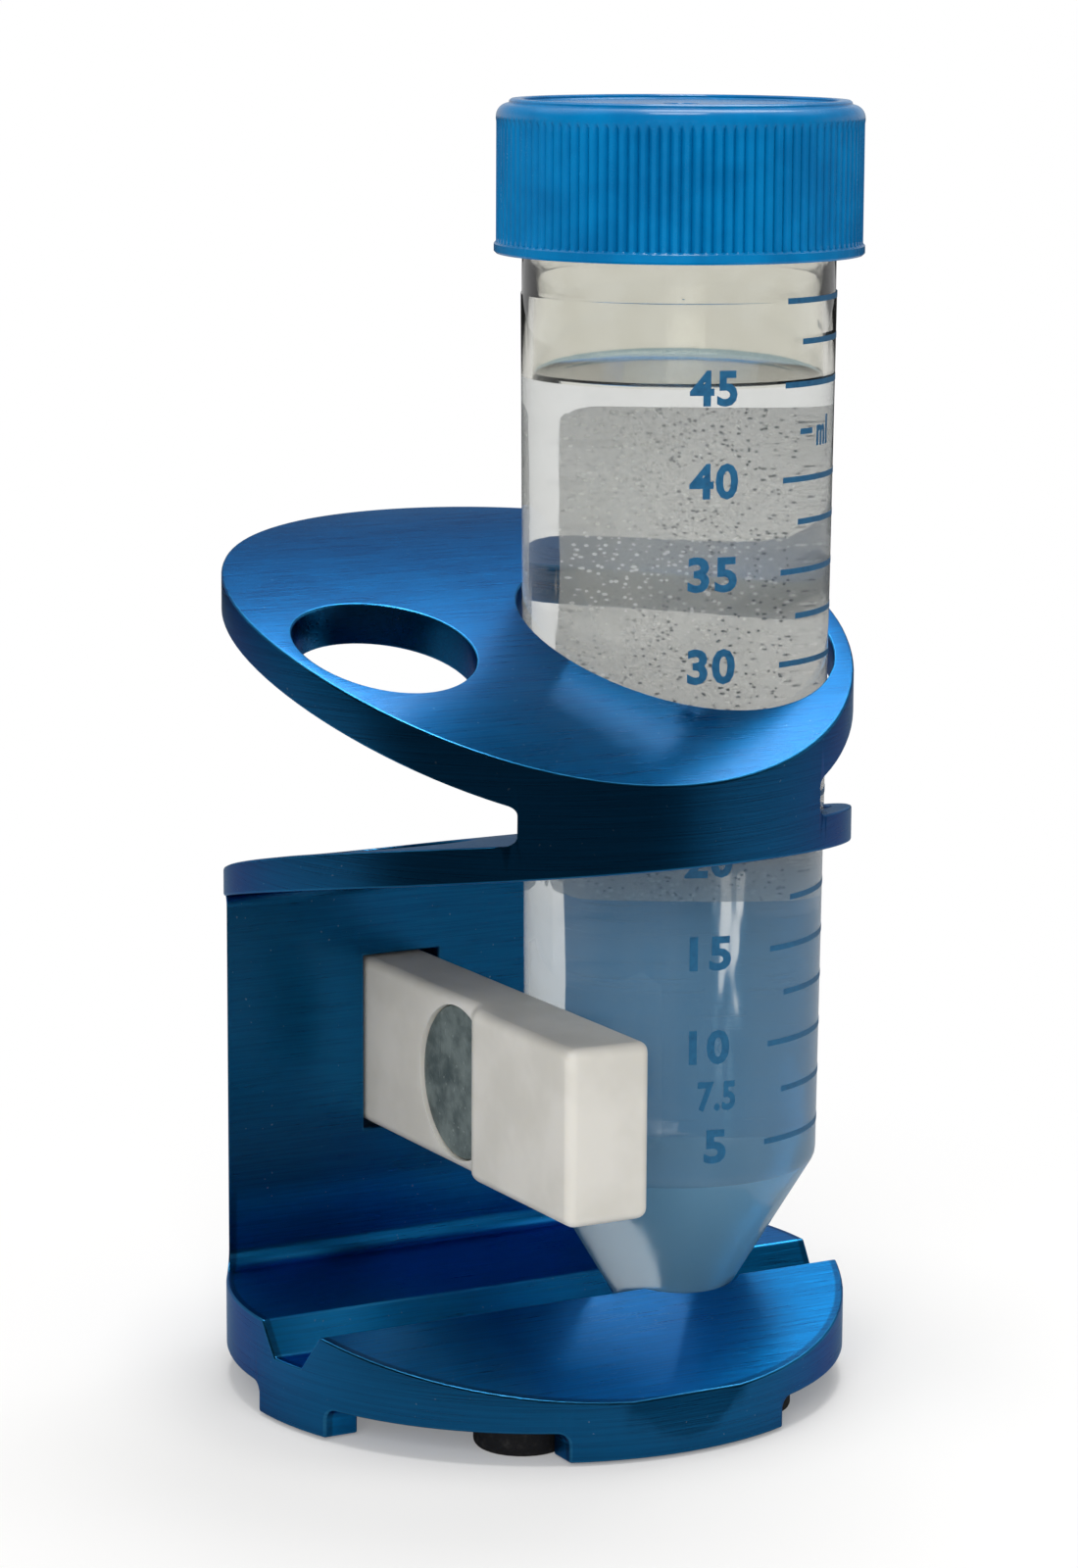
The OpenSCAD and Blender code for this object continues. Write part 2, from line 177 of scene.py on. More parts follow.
class Graph:
    """Builds the nodes of one material or of the world."""

    def __init__(self, tree: bpy.types.NodeTree) -> None:
        """Clear a node tree and build in it.

        Args:
            tree: The node tree of a material or a world.
        """
        self.tree = tree
        tree.nodes.clear()

    def node(
        self,
        kind: str,
        settings: dict[str, Any] | None = None,
        inputs: dict[Any, Any] | None = None,
        output: Any = 0,
    ) -> Wire:
        """Add a node.

        Args:
            kind: The type name of the node.
            settings: Properties that are set before the sockets.
            inputs: A value or a Wire for each input socket, by name or number.
            output: The name or number of the output to return.

        Returns:
            The wire of that output.
        """
        made = self.tree.nodes.new(kind)
        for name, value in (settings or {}).items():
            setattr(made, name, value)
        for name, value in (inputs or {}).items():
            if isinstance(value, Wire):
                self.tree.links.new(value.socket, made.inputs[name])
            else:
                made.inputs[name].default_value = value
        return Wire(self, made.outputs[output])

    def place(self) -> Wire:
        """Return the object coordinates, in millimetres."""
        return self.scaled(self.node("ShaderNodeTexCoord", output="Object"), 1 / MM)

    def scaled(self, vector: Wire, factor: Wire | float) -> Wire:
        """Return a vector or a colour times one factor."""
        inputs = {0: vector, "Scale": factor}
        return self.node("ShaderNodeVectorMath", {"operation": "SCALE"}, inputs)

    def ray(self, kind: str) -> Wire:
        """Return 1 for a ray of this kind and 0 for any other."""
        return self.node("ShaderNodeLightPath", output=f"Is {kind} Ray")

    @staticmethod
    def reach(east: Wire, north: Wire) -> Wire:
        """Return the distance from the vertical axis."""
        return (east * east + north * north).power(0.5)

    def axes(self, vector: Wire) -> tuple[Wire, Wire, Wire]:
        """Return the three parts of a vector."""
        parts = self.node("ShaderNodeSeparateXYZ", inputs={0: vector})
        outputs = parts.socket.node.outputs
        return Wire(self, outputs[0]), Wire(self, outputs[1]), Wire(self, outputs[2])

    def stretch(self, vector: Wire, factors: Triple) -> Wire:
        """Return a vector scaled by one factor for each axis."""
        return self.node("ShaderNodeVectorMath", {"operation": "MULTIPLY"}, {0: vector, 1: factors})

    def noise(self, vector: Wire, scale: float, detail: float = 2.0, rough: float = 0.5) -> Wire:
        """Return smooth noise from 0 to 1.

        Args:
            vector: Where the noise is read.
            scale: How many waves go to a millimetre.
            detail: How many finer layers are added.
            rough: The strength of each finer layer.

        Returns:
            The wire of the noise.
        """
        return self.node("ShaderNodeTexNoise", inputs={
            "Vector": vector, "Scale": scale, "Detail": detail, "Roughness": rough,
        })

    def span(
        self, value: Wire, start: float, end: float, low: float = 0.0, high: float = 1.0
    ) -> Wire:
        """Return low before start and high after end, with a smooth way between.

        Args:
            value: The value that is compared.
            start: Where the change starts.
            end: Where it ends.
            low: The result before the start.
            high: The result after the end.

        Returns:
            The wire of the result.
        """
        return self.node("ShaderNodeMapRange", {"interpolation_type": "SMOOTHSTEP"}, {
            "Value": value, "From Min": start, "From Max": end, "To Min": low, "To Max": high,
        })

    def blend(self, factor: Wire | float, first: Any, second: Any) -> Wire:
        """Return a colour between two colours."""
        inputs = {MixSocket.FACTOR: factor, MixSocket.FIRST: first, MixSocket.SECOND: second}
        return self.node("ShaderNodeMix", {"data_type": "RGBA"}, inputs, MixSocket.RESULT)

    def bump(self, height: Wire, depth_mm: float, strength: float = 1.0) -> Wire:
        """Return a normal that follows a height.

        Args:
            height: The height, from 0 to 1.
            depth_mm: How deep a height of 1 is.
            strength: The share of the effect.

        Returns:
            The wire of the normal.
        """
        return self.node("ShaderNodeBump", inputs={
            "Height": height, "Distance": depth_mm * MM, "Strength": strength,
        })

    def surface(self, inputs: dict[str, Any]) -> Wire:
        """Return a Principled shader with these inputs."""
        return self.node("ShaderNodeBsdfPrincipled", inputs=inputs)

    def finish(self, shader: Wire, kind: str = "ShaderNodeOutputMaterial") -> None:
        """Join a shader to the output of the tree."""
        made = self.tree.nodes.new(kind)
        self.tree.links.new(shader.socket, made.inputs["Surface"])


def linear(value: float) -> float:
    """Return the linear share of one 8-bit channel."""
    share = value / 255
    return share / 12.92 if share <= 0.04045 else ((share + 0.055) / 1.055) ** 2.4


def rgba(red: float, green: float, blue: float) -> tuple[float, float, float, float]:
    """Return an opaque linear colour from 8-bit screen values."""
    return linear(red), linear(green), linear(blue), 1.0


@dataclass(frozen=True)
class Finish:
    """A finish that makes one material. Each kind of finish fills in shade()."""

    name: str

    def shade(self, graph: Graph) -> Wire:
        """Return the shader of the finish."""
        raise NotImplementedError

    def material(self) -> bpy.types.Material:
        """Make the material of the finish.

        Returns:
            The new material.
        """
        made = bpy.data.materials.new(self.name)
        made.use_nodes = True
        graph = Graph(made.node_tree)
        graph.finish(self.shade(graph))
        return made


@dataclass(frozen=True)
class AnodisedAluminium(Finish):
    """Blue anodised aluminium with a fine milled grain.

    The grain runs round the rim, and along Y everywhere else. The low deck inside the rim has a
    lighter base colour, which is painted light.
    """

    deep: Triple = (0, 90, 142)
    light: Triple = (0, 106, 164)
    roughness: float = 0.3
    rim_radius: float = 29.6
    grain_depth: float = 0.022
    # The low deck that is painted lighter, and by how much: painted light.
    deck_top: Pair = (15.0, 18.0)
    deck_edge: Pair = (29.1, 29.4)
    deck_painted_light: float = 0.9
    dust_tint: Triple = (150, 180, 205)
    glance_tint: Triple = (60, 160, 205)

    def shade(self, graph: Graph) -> Wire:
        """Return the shader of the finish."""
        place = graph.place()
        east, north, up = graph.axes(place)
        radius = graph.reach(east, north)
        rim = graph.span(radius, self.rim_radius, self.rim_radius + 0.3)
        along = graph.noise(graph.stretch(place, (8.0, 0.25, 8.0)), 1.0, 3.0, 0.6)
        around = graph.noise(graph.stretch(place, (0.12, 0.12, 8.0)), 1.0, 3.0, 0.6)
        grain = along * (1.0 - rim) + around * rim
        streak_along = graph.noise(graph.stretch(place, (4.2, 0.1, 4.2)), 1.0, 2.0, 0.6)
        streak_around = graph.noise(graph.stretch(place, (0.06, 0.06, 4.2)), 1.0, 2.0, 0.6)
        streak = graph.span(streak_along * (1.0 - rim) + streak_around * rim, 0.35, 0.65)
        cloud = graph.noise(place, 0.09, 3.0, 0.6)
        dust = graph.span(graph.noise(place, 2.2, 1.0), 0.76, 0.8)
        shade = graph.span(cloud * 0.35 + grain * 0.4 + streak * 0.25, 0.2, 0.8)
        colour = graph.blend(shade, rgba(*self.deep), rgba(*self.light))
        # Painted light: the base colour of the low deck inside the rim is lifted, standing in for
        # the light that falls on it.
        painted_deck_light = graph.span(up, *self.deck_top, 1.0, 0.0)
        painted_deck_light *= graph.span(radius, *self.deck_edge, 1.0, 0.0)
        colour = graph.scaled(colour, 1.0 + painted_deck_light * self.deck_painted_light)
        colour = graph.blend(dust * 0.35, colour, rgba(*self.dust_tint))
        rough = self.roughness + grain * 0.08 + streak * 0.03 + cloud * 0.04 - 0.08
        return graph.surface({
            "Base Color": colour, "Metallic": 1.0, "Roughness": rough,
            "Normal": graph.bump(grain * 0.85 + streak * 0.15, self.grain_depth),
            "Specular Tint": rgba(*self.glance_tint),
            "Coat Weight": 0.25, "Coat Roughness": 0.22, "Coat IOR": 1.5,
        })


@dataclass(frozen=True)
class MilledAcetal(Finish):
    """Natural white acetal: milky, a little translucent, with faint marks of the cutter."""

    dull: Triple = (203, 201, 194)
    pale: Triple = (213, 211, 205)
    dirt: Triple = (168, 162, 148)

    def shade(self, graph: Graph) -> Wire:
        """Return the shader of the finish."""
        place = graph.place()
        cloud = graph.noise(place, 0.12, 3.0, 0.55)
        marks = graph.noise(graph.stretch(place, (0.5, 5.0, 5.0)), 1.0, 2.0)
        grit = graph.noise(place, 5.0, 2.0, 0.7)
        colour = graph.blend(graph.span(cloud, 0.35, 0.65), rgba(*self.dull), rgba(*self.pale))
        colour = graph.blend(graph.span(grit, 0.7, 0.8) * 0.12, colour, rgba(*self.dirt))
        return graph.surface({
            "Base Color": colour, "Roughness": 0.36 + marks * 0.1 + grit * 0.06,
            "Normal": graph.bump(marks * 0.7 + grit * 0.3, 0.006),
            "Subsurface Weight": 0.35, "Subsurface Radius": (0.9, 0.8, 0.6),
            "Subsurface Scale": 2.0 * MM, "IOR": 1.48,
        })


@dataclass(frozen=True)
class WornMagnet(Finish):
    """Dull grey-green plating with fine scratches in every direction and small bright chips."""

    deep: Triple = (82, 96, 97)
    light: Triple = (128, 141, 140)
    scratched: Triple = (176, 188, 184)
    chipped: Triple = (190, 200, 196)

    def shade(self, graph: Graph) -> Wire:
        """Return the shader of the finish."""
        place = graph.place()
        cloud = graph.noise(place, 0.35, 4.0, 0.65)
        across = graph.noise(graph.stretch(place, (8.0, 1.0, 0.5)), 1.0, 2.0)
        tilted = graph.node("ShaderNodeVectorRotate", {"rotation_type": "Y_AXIS"},
                            {"Vector": place, "Angle": 0.9})
        crossed = graph.noise(graph.stretch(tilted, (9.0, 1.0, 0.4)), 1.0, 2.0)
        scratch = graph.span(across, 0.66, 0.74) * 0.5 + graph.span(crossed, 0.66, 0.74) * 0.5
        chips = graph.span(graph.noise(place, 1.6, 2.0), 0.68, 0.74)
        colour = graph.blend(graph.span(cloud, 0.3, 0.7), rgba(*self.deep), rgba(*self.light))
        colour = graph.blend(scratch * 0.5, colour, rgba(*self.scratched))
        colour = graph.blend(chips * 0.35, colour, rgba(*self.chipped))
        return graph.surface({
            "Base Color": colour, "Metallic": 0.3,
            "Roughness": 0.42 + cloud * 0.25 - scratch * 0.12,
            "Normal": graph.bump(scratch * 0.6 + cloud * 0.4, 0.03),
        })


@dataclass(frozen=True)
class ClearPlastic(Finish):
    """Clear moulded plastic, a little hazy, with soft waves from the mould, and where asked a
    painted reflection of blue over a span of heights.
    """

    ior: float = PLASTIC_IOR
    haze: float = 0.03
    tint: Triple = (226, 225, 217)
    # A blue matt share mixed into the glass over a span of heights: painted reflection of the blue
    # housing.
    painted_reflection: Pair = (0.0, 0.0)
    painted_reflection_tint: Triple = (130, 186, 228)
    painted_reflection_z: Pair = (42.0, 60.0)
    seam_from: float = 105.1
    axis: Pair = (5.6, 11.8)
    seam_azimuth: float = -28.7
    seam_width: Pair = (0.004, 0.02)

    def shade(self, graph: Graph) -> Wire:
        """Return the shader of the finish."""
        place = graph.place()
        waves = graph.noise(graph.stretch(place, (0.25, 0.25, 0.06)), 1.0, 2.0)
        cloud = graph.noise(place, 0.2, 3.0)
        east, north, up = graph.axes(place)
        turn = math.radians(self.seam_azimuth)
        beside = (north - self.axis[1]) * math.cos(turn) - (east - self.axis[0]) * math.sin(turn)
        seam = graph.span(beside * beside, *self.seam_width, 1.0, 0.0)
        seam *= graph.span(up, self.seam_from, self.seam_from + 0.2)
        colour = graph.blend(graph.span(cloud, 0.3, 0.7) * 0.15, rgba(*self.tint), WHITE)
        shadow = graph.ray("Shadow")
        glass = graph.surface({
            "Base Color": colour, "Roughness": self.haze + cloud * 0.03, "IOR": self.ior,
            "Transmission Weight": 1.0, "Normal": graph.bump(waves + seam * 0.6, 0.05, 0.6),
            "Alpha": 1.0 - shadow * LIGHT_PASSED,
        })
        # Painted reflection: a blue matt surface mixed into the glass stands in for the lit blue
        # housing seen through the tube.
        if self.painted_reflection == (0.0, 0.0):
            return glass
        painted_blue = graph.surface({"Base Color": rgba(*self.painted_reflection_tint), "Roughness": 0.5 + cloud * 0.1})
        share = graph.span(up, *self.painted_reflection_z, *self.painted_reflection)
        return graph.node("ShaderNodeMixShader", inputs={0: share, 1: glass, 2: painted_blue})


@dataclass(frozen=True)
class Sample(Finish):
    """Clear watery sample with a trace of blue."""

    ior: float = WATER_IOR
    tint: Triple = (240, 246, 249)
    body: float = 1.0
    lift: int = 6

    def shade(self, graph: Graph) -> Wire:
        """Return the shader of the finish."""
        place = graph.place()
        swirl = graph.noise(graph.stretch(place, (0.15, 0.15, 0.05)), 1.0, 2.0)
        colour = graph.blend(graph.span(swirl, 0.3, 0.7), rgba(*self.tint),
                             rgba(*(min(255, value + self.lift) for value in self.tint)))
        shadow = graph.ray("Shadow")
        return graph.surface({
            "Base Color": colour, "Roughness": 0.0 + swirl * 0.01, "IOR": self.ior,
            "Transmission Weight": 1.0, "Alpha": (1.0 - shadow * LIGHT_PASSED) * self.body,
        })


@dataclass(frozen=True)
class PrintInk(Finish):
    """Screen printed ink, slightly patchy."""

    colour: Triple = (10, 84, 126)
    cover: float = 0.97
    lift: int = 16

    def shade(self, graph: Graph) -> Wire:
        """Return the shader of the finish."""
        place = graph.place()
        patch = graph.noise(place, 1.8, 3.0, 0.7)
        colour = graph.blend(graph.span(patch, 0.3, 0.7), rgba(*self.colour),
                             rgba(*(value + self.lift for value in self.colour)))
        return graph.surface({
            "Base Color": colour, "Roughness": 0.45 + patch * 0.15,
            "Alpha": graph.span(patch, 0.2, 0.42, 0.8 * self.cover, self.cover),
        })


@dataclass(frozen=True)
class WritingPatch(Finish):
    """Thin white ink that takes a pencil, with pale specks above and dark specks below."""

    cover: float = 0.44
    pale_side: Pair = (15.0, 22.0)
    pale_height: Pair = (58.0, 82.0)
    cell_scales: Pair = (2.3, 2.5)

    def shade(self, graph: Graph) -> Wire:
        """Return the shader of the finish."""
        place = graph.place()
        _, north, up = graph.axes(place)
        cloud = graph.noise(place, 0.16, 3.0)
        warped = graph.stretch(place, (1.0, 1.0, 0.8))
        cells, finer = (
            graph.node("ShaderNodeTexVoronoi", output="Distance",
                       inputs={"Vector": warped, "Scale": scale, "Randomness": 1.0})
            for scale in self.cell_scales
        )
        sparse = graph.span(graph.noise(place, 0.9, 2.0), 0.32, 0.46)
        high = graph.span(north, *self.pale_side, 1.0, 0.15) * graph.span(up, *self.pale_height)
        pale = graph.span(cells, 0.2, 0.36, 1.0, 0.0) * sparse * (0.3 + high * 0.7)
        dark = graph.span(finer, 0.18, 0.32, 1.0, 0.0) * sparse * (1.0 - high * 0.7)
        colour = graph.blend(graph.span(cloud, 0.3, 0.7), rgba(210, 209, 205), rgba(222, 221, 217))
        colour = graph.blend(dark, colour, rgba(70, 74, 76))
        colour = graph.blend(pale, colour, rgba(252, 252, 250))
        cover = graph.span(cloud, 0.3, 0.7, self.cover, self.cover + 0.06)
        return graph.surface({
            "Base Color": colour, "Roughness": 0.75 + cloud * 0.1,
            "Alpha": cover + pale * 0.4 + dark * 0.35,
        })


@dataclass(frozen=True)
class MouldedCap(Finish):
    """Blue polyethylene with the soft sheen and flow marks of moulding."""

    deep: Triple = (0, 101, 158)
    light: Triple = (0, 118, 178)

    def shade(self, graph: Graph) -> Wire:
        """Return the shader of the finish."""
        place = graph.place()
        cloud = graph.noise(place, 0.14, 3.0, 0.6)
        flow = graph.noise(graph.stretch(place, (1.2, 1.2, 0.2)), 1.0, 2.0)
        grit = graph.noise(place, 6.0, 2.0, 0.7)
        colour = graph.blend(graph.span(cloud, 0.3, 0.7), rgba(*self.deep), rgba(*self.light))
        return graph.surface({
            "Base Color": colour, "Roughness": 0.2 + flow * 0.06 + grit * 0.06,
            "Normal": graph.bump(flow * 0.5 + grit * 0.5, 0.008),
            "Specular IOR Level": 0.12, "Coat Weight": 0.25, "Coat Roughness": 0.1,
        })


@dataclass(frozen=True)
class Rubber(Finish):
    """Black rubber, matt and a little dusty."""

    def shade(self, graph: Graph) -> Wire:
        """Return the shader of the finish."""
        place = graph.place()
        dust = graph.noise(place, 0.9, 4.0, 0.7)
        grit = graph.noise(place, 7.0, 2.0, 0.7)
        colour = graph.blend(graph.span(dust, 0.45, 0.75), rgba(22, 22, 24), rgba(52, 51, 50))
        return graph.surface({
            "Base Color": colour, "Roughness": 0.7 + grit * 0.2, "Normal": graph.bump(grit, 0.03),
        })


@dataclass(frozen=True)
class Bench(Finish):
    """White bench top that stays white to the eye away from the shadow of the object."""

    white_from: float = 42.0
    white_at: float = 120.0
    mirrored: Pair = (0.5, 0.06)
    dark_from: float = 44.0
    dark_at: float = 95.0
    beside: float = 0.42
    beside_turn: Pair = (-0.7, -0.3)
    beside_reach: Pair = (470.0, 570.0)
    paint: Triple = (0.86, 0.86, 0.86)
    least_glow: float = 0.2

    def shade(self, graph: Graph) -> Wire:
        """Return the shader of the finish."""
        place = graph.place()
        east, north, _ = graph.axes(place)
        radius = graph.reach(east, north)
        through = graph.ray("Transmission")
        seen = graph.ray("Camera").larger(through)
        mirrored = graph.ray("Glossy") * (1.0 - through)
        behind = (north * BACK[1] + east * BACK[0]) / radius
        aside = graph.span(behind, *self.beside_turn)
        aside *= graph.span(radius, *self.beside_reach, 1.0, 0.0)
        far_level = aside * (self.beside - self.mirrored[1]) + self.mirrored[1]
        near = graph.span(radius, self.dark_from, self.dark_at, 1.0, 0.0)
        level = near * self.mirrored[0] + (1.0 - near) * far_level
        grey = graph.node("ShaderNodeCombineColor", inputs={0: level, 1: level, 2: level})
        tone = graph.blend(mirrored, (*self.paint, 1.0), grey)
        matt = graph.node("ShaderNodeBsdfDiffuse", inputs={"Color": tone})
        glow = graph.node("ShaderNodeEmission", inputs={"Color": WHITE, "Strength": 1.0})
        far = graph.span(radius, self.white_from, self.white_at, self.least_glow, 1.0)
        return graph.node("ShaderNodeMixShader", inputs={0: seen * far, 1: matt, 2: glow})


# ---------------------------------------------------------------- mesh tools


def deselect() -> None:
    """Leave edit mode and deselect everything."""
    if bpy.context.mode != "OBJECT":
        bpy.ops.object.mode_set(mode="OBJECT")
    bpy.ops.object.select_all(action="DESELECT")


class Work:
    """A mesh that is shaped with edit tools and then finished as one piece."""

    def __init__(self, name: str) -> None:
        """Take the object that was just added.

        Args:
            name: The name of the piece.
        """
        self.obj: bpy.types.Object = bpy.context.active_object
        self.obj.name = name
        self.obj.data.name = name

    @classmethod
    def copy_of(cls, name: str, node: str) -> "Work":
        """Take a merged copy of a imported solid.

        Args:
            name: The name of the piece.
            node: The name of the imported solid.

        Returns:
            The copy.
        """
        deselect()
        made = bpy.data.objects.new(name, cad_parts[node].data.copy())
        bpy.context.scene.collection.objects.link(made)
        bpy.context.view_layer.objects.active = made
        made.select_set(True)
        work = cls(name)
        work.edit()
        bpy.ops.mesh.select_all(action="SELECT")
        bpy.ops.mesh.remove_doubles(threshold=CLOSE)
        bpy.ops.mesh.dissolve_degenerate(threshold=NEAR)
        bpy.ops.mesh.dissolve_limited(angle_limit=math.radians(0.3))
        return work

    def edit(self) -> None:
        """Go to edit mode."""
        bpy.context.view_layer.objects.active = self.obj
        if bpy.context.mode != "EDIT_MESH":
            bpy.ops.object.mode_set(mode="EDIT")

    def pick(self, element: Element, test: Callable[[Any], bool]) -> None:
        """Select what passes a test, and stay in edit mode.

        Args:
            element: What is selected.
            test: Says yes or no to a vertex, an edge or a face.
        """
        self.edit()
        bpy.ops.mesh.select_mode(type=element.value)
        bpy.ops.mesh.select_all(action="DESELECT")
        bpy.ops.object.mode_set(mode="OBJECT")
        mesh = self.obj.data
        items = {
            Element.VERTEX: mesh.vertices, Element.EDGE: mesh.edges, Element.FACE: mesh.polygons,
        }
        for item in items[element]:
            item.select = test(item)
        bpy.ops.object.mode_set(mode="EDIT")

    def middle(self, edge: bpy.types.MeshEdge) -> Vector:
        """Return the middle of an edge, in millimetres."""
        first, second = (self.obj.data.vertices[i].co for i in edge.vertices)
        return (first + second) / (2 * MM)

    def cut(self, point: Triple, normal: Triple) -> None:
        """Cut the whole mesh along a plane.

        Args:
            point: A point of the plane, in millimetres.
            normal: The direction square to the plane.
        """
        self.edit()
        bpy.ops.mesh.select_all(action="SELECT")
        bpy.ops.mesh.bisect(plane_co=[MM * c for c in point], plane_no=normal)

    def slice_at(self, places: Sequence[float]) -> None:
        """Cut a flat mesh across X at each place.

        Args:
            places: Where it is cut, in the units of the mesh.
        """
        self.edit()
        for place in places:
            bpy.ops.mesh.select_all(action="SELECT")
            bpy.ops.mesh.bisect(plane_co=(place, 0, 0), plane_no=(1, 0, 0))

    def modify(self, kind: str, **settings: Any) -> None:
        """Add a modifier, set it and apply it.

        Args:
            kind: The type of the modifier.
            **settings: Its properties.
        """
        if bpy.context.mode != "OBJECT":
            bpy.ops.object.mode_set(mode="OBJECT")
        deselect()
        bpy.context.view_layer.objects.active = self.obj
        self.obj.select_set(True)
        made = self.obj.modifiers.new(kind.lower(), kind)
        for name, value in settings.items():
            setattr(made, name, value)
        bpy.ops.object.modifier_apply(modifier=made.name)

    def close(
        self, smooth_degrees: float = 35.0, recalculate: bool = True, weighted: bool = False
    ) -> None:
        """Put the place of the piece in its mesh, point its faces outwards and smooth it.

        Args:
            smooth_degrees: Edges that turn more than this stay sharp.
            recalculate: Whether the faces are turned outwards again.
            weighted: Whether large faces hold the shading flat.
        """
        self.edit()
        bpy.ops.mesh.select_all(action="SELECT")
        if recalculate:
            bpy.ops.mesh.normals_make_consistent(inside=False)
        deselect()
        self.obj.select_set(True)
        bpy.context.view_layer.objects.active = self.obj
        bpy.ops.object.transform_apply(location=True, rotation=True, scale=True)
        bpy.ops.object.shade_smooth_by_angle(angle=math.radians(smooth_degrees))
        if weighted:
            self.modify("WEIGHTED_NORMAL", keep_sharp=True, weight=80)

    def dress(
        self, body: Body, slot: Slot, finishes: Sequence[Finish], replaced: Sequence[str] = ()
    ) -> None:
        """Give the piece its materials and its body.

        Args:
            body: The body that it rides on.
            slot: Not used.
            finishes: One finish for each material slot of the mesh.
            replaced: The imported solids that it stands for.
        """
        mesh = self.obj.data
        slots = [face.material_index for face in mesh.polygons]
        mesh.materials.clear()
        for finish in finishes:
            mesh.materials.append(finish.material())
        for face, slot_number in zip(mesh.polygons, slots):
            face.material_index = min(slot_number, len(finishes) - 1)
        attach(self.obj, body.value)
        if replaced:
            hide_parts(*replaced)
        LOG.info("%s: %d faces on %s", self.obj.name, len(self.obj.data.polygons), body.value)


def turned(name: str, outline: Sequence[Pair], segments: int, axis: Pair) -> Work:
    """Turn an outline about a vertical axis.

    Args:
        name: The name of the piece.
        outline: Radius and height of each ring; a radius of 0 at either end closes it in a point.
        segments: Facets around.
        axis: Place of the axis.

    Returns:
        The turned mesh, in edit mode.
    """
    deselect()
    east, north = (MM * c for c in axis)
    rings = [point for point in outline if point[0] > 0]
    radius, height = rings[0]
    bpy.ops.mesh.primitive_circle_add(
        vertices=segments, radius=radius * MM, fill_type="NOTHING",
        location=(east, north, height * MM),
    )
    work = Work(name)
    bpy.ops.object.transform_apply(location=True)
    work.edit()
    bpy.ops.mesh.select_all(action="SELECT")

    def extrude(rise: float) -> None:
        """Extrude the picked ring upwards."""
        bpy.ops.mesh.extrude_region_move(TRANSFORM_OT_translate={"value": (0, 0, rise * MM)})

    def cone(rise: float) -> None:
        """Close the picked ring in a point on the axis."""
        extrude(rise)
        bpy.ops.mesh.merge(type="CENTER")

    for next_radius, next_height in rings[1:]:
        extrude(next_height - height)
        share, middle = next_radius / radius, (east, north, next_height * MM)
        bpy.ops.transform.resize(value=(share, share, 1), center_override=middle)
        radius, height = next_radius, next_height
    if outline[-1][0] == 0:
        cone(outline[-1][1] - height)
    if outline[0][0] == 0:
        work.pick(Element.VERTEX, lambda vertex: vertex.index < segments)
        cone(outline[0][1] - rings[0][1])
    return work


def arc(centre: Pair, radius: float, start: float, end: float, steps: int) -> list[Pair]:
    """Return points along an arc.

    Args:
        centre: Centre of the arc.
        radius: Its radius.
        start: Its first angle, in degrees.
        end: Its last angle, in degrees.
        steps: How many pieces it is made of.

    Returns:
        The points, both ends included.
    """
    angles = [math.radians(start + (end - start) * i / steps) for i in range(steps + 1)]
    return [(centre[0] + radius * math.cos(a), centre[1] + radius * math.sin(a)) for a in angles]


def axis_of(node: str) -> Pair:
    """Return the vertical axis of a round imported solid, in millimetres."""
    low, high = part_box(node)
    return (low.x + high.x) / (2 * MM), (low.y + high.y) / (2 * MM)


# ---------------------------------------------------------------- the object


@dataclass
class Housing:
    """The one-piece housing, with the small edge breaks that a milled part has."""

    edge_break: float = 0.22
    edge_steps: int = 2
    sharp_degrees: float = 32.0
    body_finish: Finish = AnodisedAluminium("anodised_blue")
    # The edge breaks take a lighter blue: partly the thinner dye of worn edges, partly a painted
    # highlight.
    edge_wear_and_highlight_finish: Finish = AnodisedAluminium(
        "anodised_blue_edge_wear_and_painted_highlight", (14, 104, 156), (40, 128, 180), 0.3
    )

    def build(self) -> None:
        """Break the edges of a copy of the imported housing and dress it."""
        work = Work.copy_of("rack_housing", "housing")
        work.obj.data.materials.clear()
        for _ in range(2):
            work.obj.data.materials.append(None)
        work.modify(
            "BEVEL", width=self.edge_break * MM, segments=self.edge_steps, limit_method="ANGLE",
            angle_limit=math.radians(self.sharp_degrees), use_clamp_overlap=False,
            loop_slide=False, material=1,
        )
        work.close(40.0, recalculate=False, weighted=True)
        work.dress(Body.RACK, Slot.HOUSING, (self.body_finish, self.edge_wear_and_highlight_finish), ("housing",))


@dataclass
class Feet:
    """The four rubber feet."""

    side_round: float = 0.6
    hollow: float = 0.12
    hollow_shares: Pair = (0.35, 0.42)
    top_break: float = 0.05
    segments: int = 64

    def build(self) -> None:
        """Turn a foot in the place of each imported one."""
        for node in ("foot_front_left", "foot_front_right", "foot_back_left", "foot_back_right"):
            low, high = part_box(node)
            radius = (high.x - low.x) / (2 * MM)
            top = high.z / MM
            side_centre = (radius - self.side_round, self.side_round)
            inner, outer = (radius * share for share in self.hollow_shares)
            outline = [
                (0, self.hollow), (inner, self.hollow), (outer, 0.0),
                *arc(side_centre, self.side_round, -90, 0, 5),
                (radius, top - self.top_break), (radius - self.top_break, top), (0, top),
            ]
            work = turned("rubber_" + node, outline, self.segments, axis_of(node))
            work.close(40.0)
            work.dress(Body.RACK, Slot.FOOT, (Rubber("black_rubber"),), (node,))


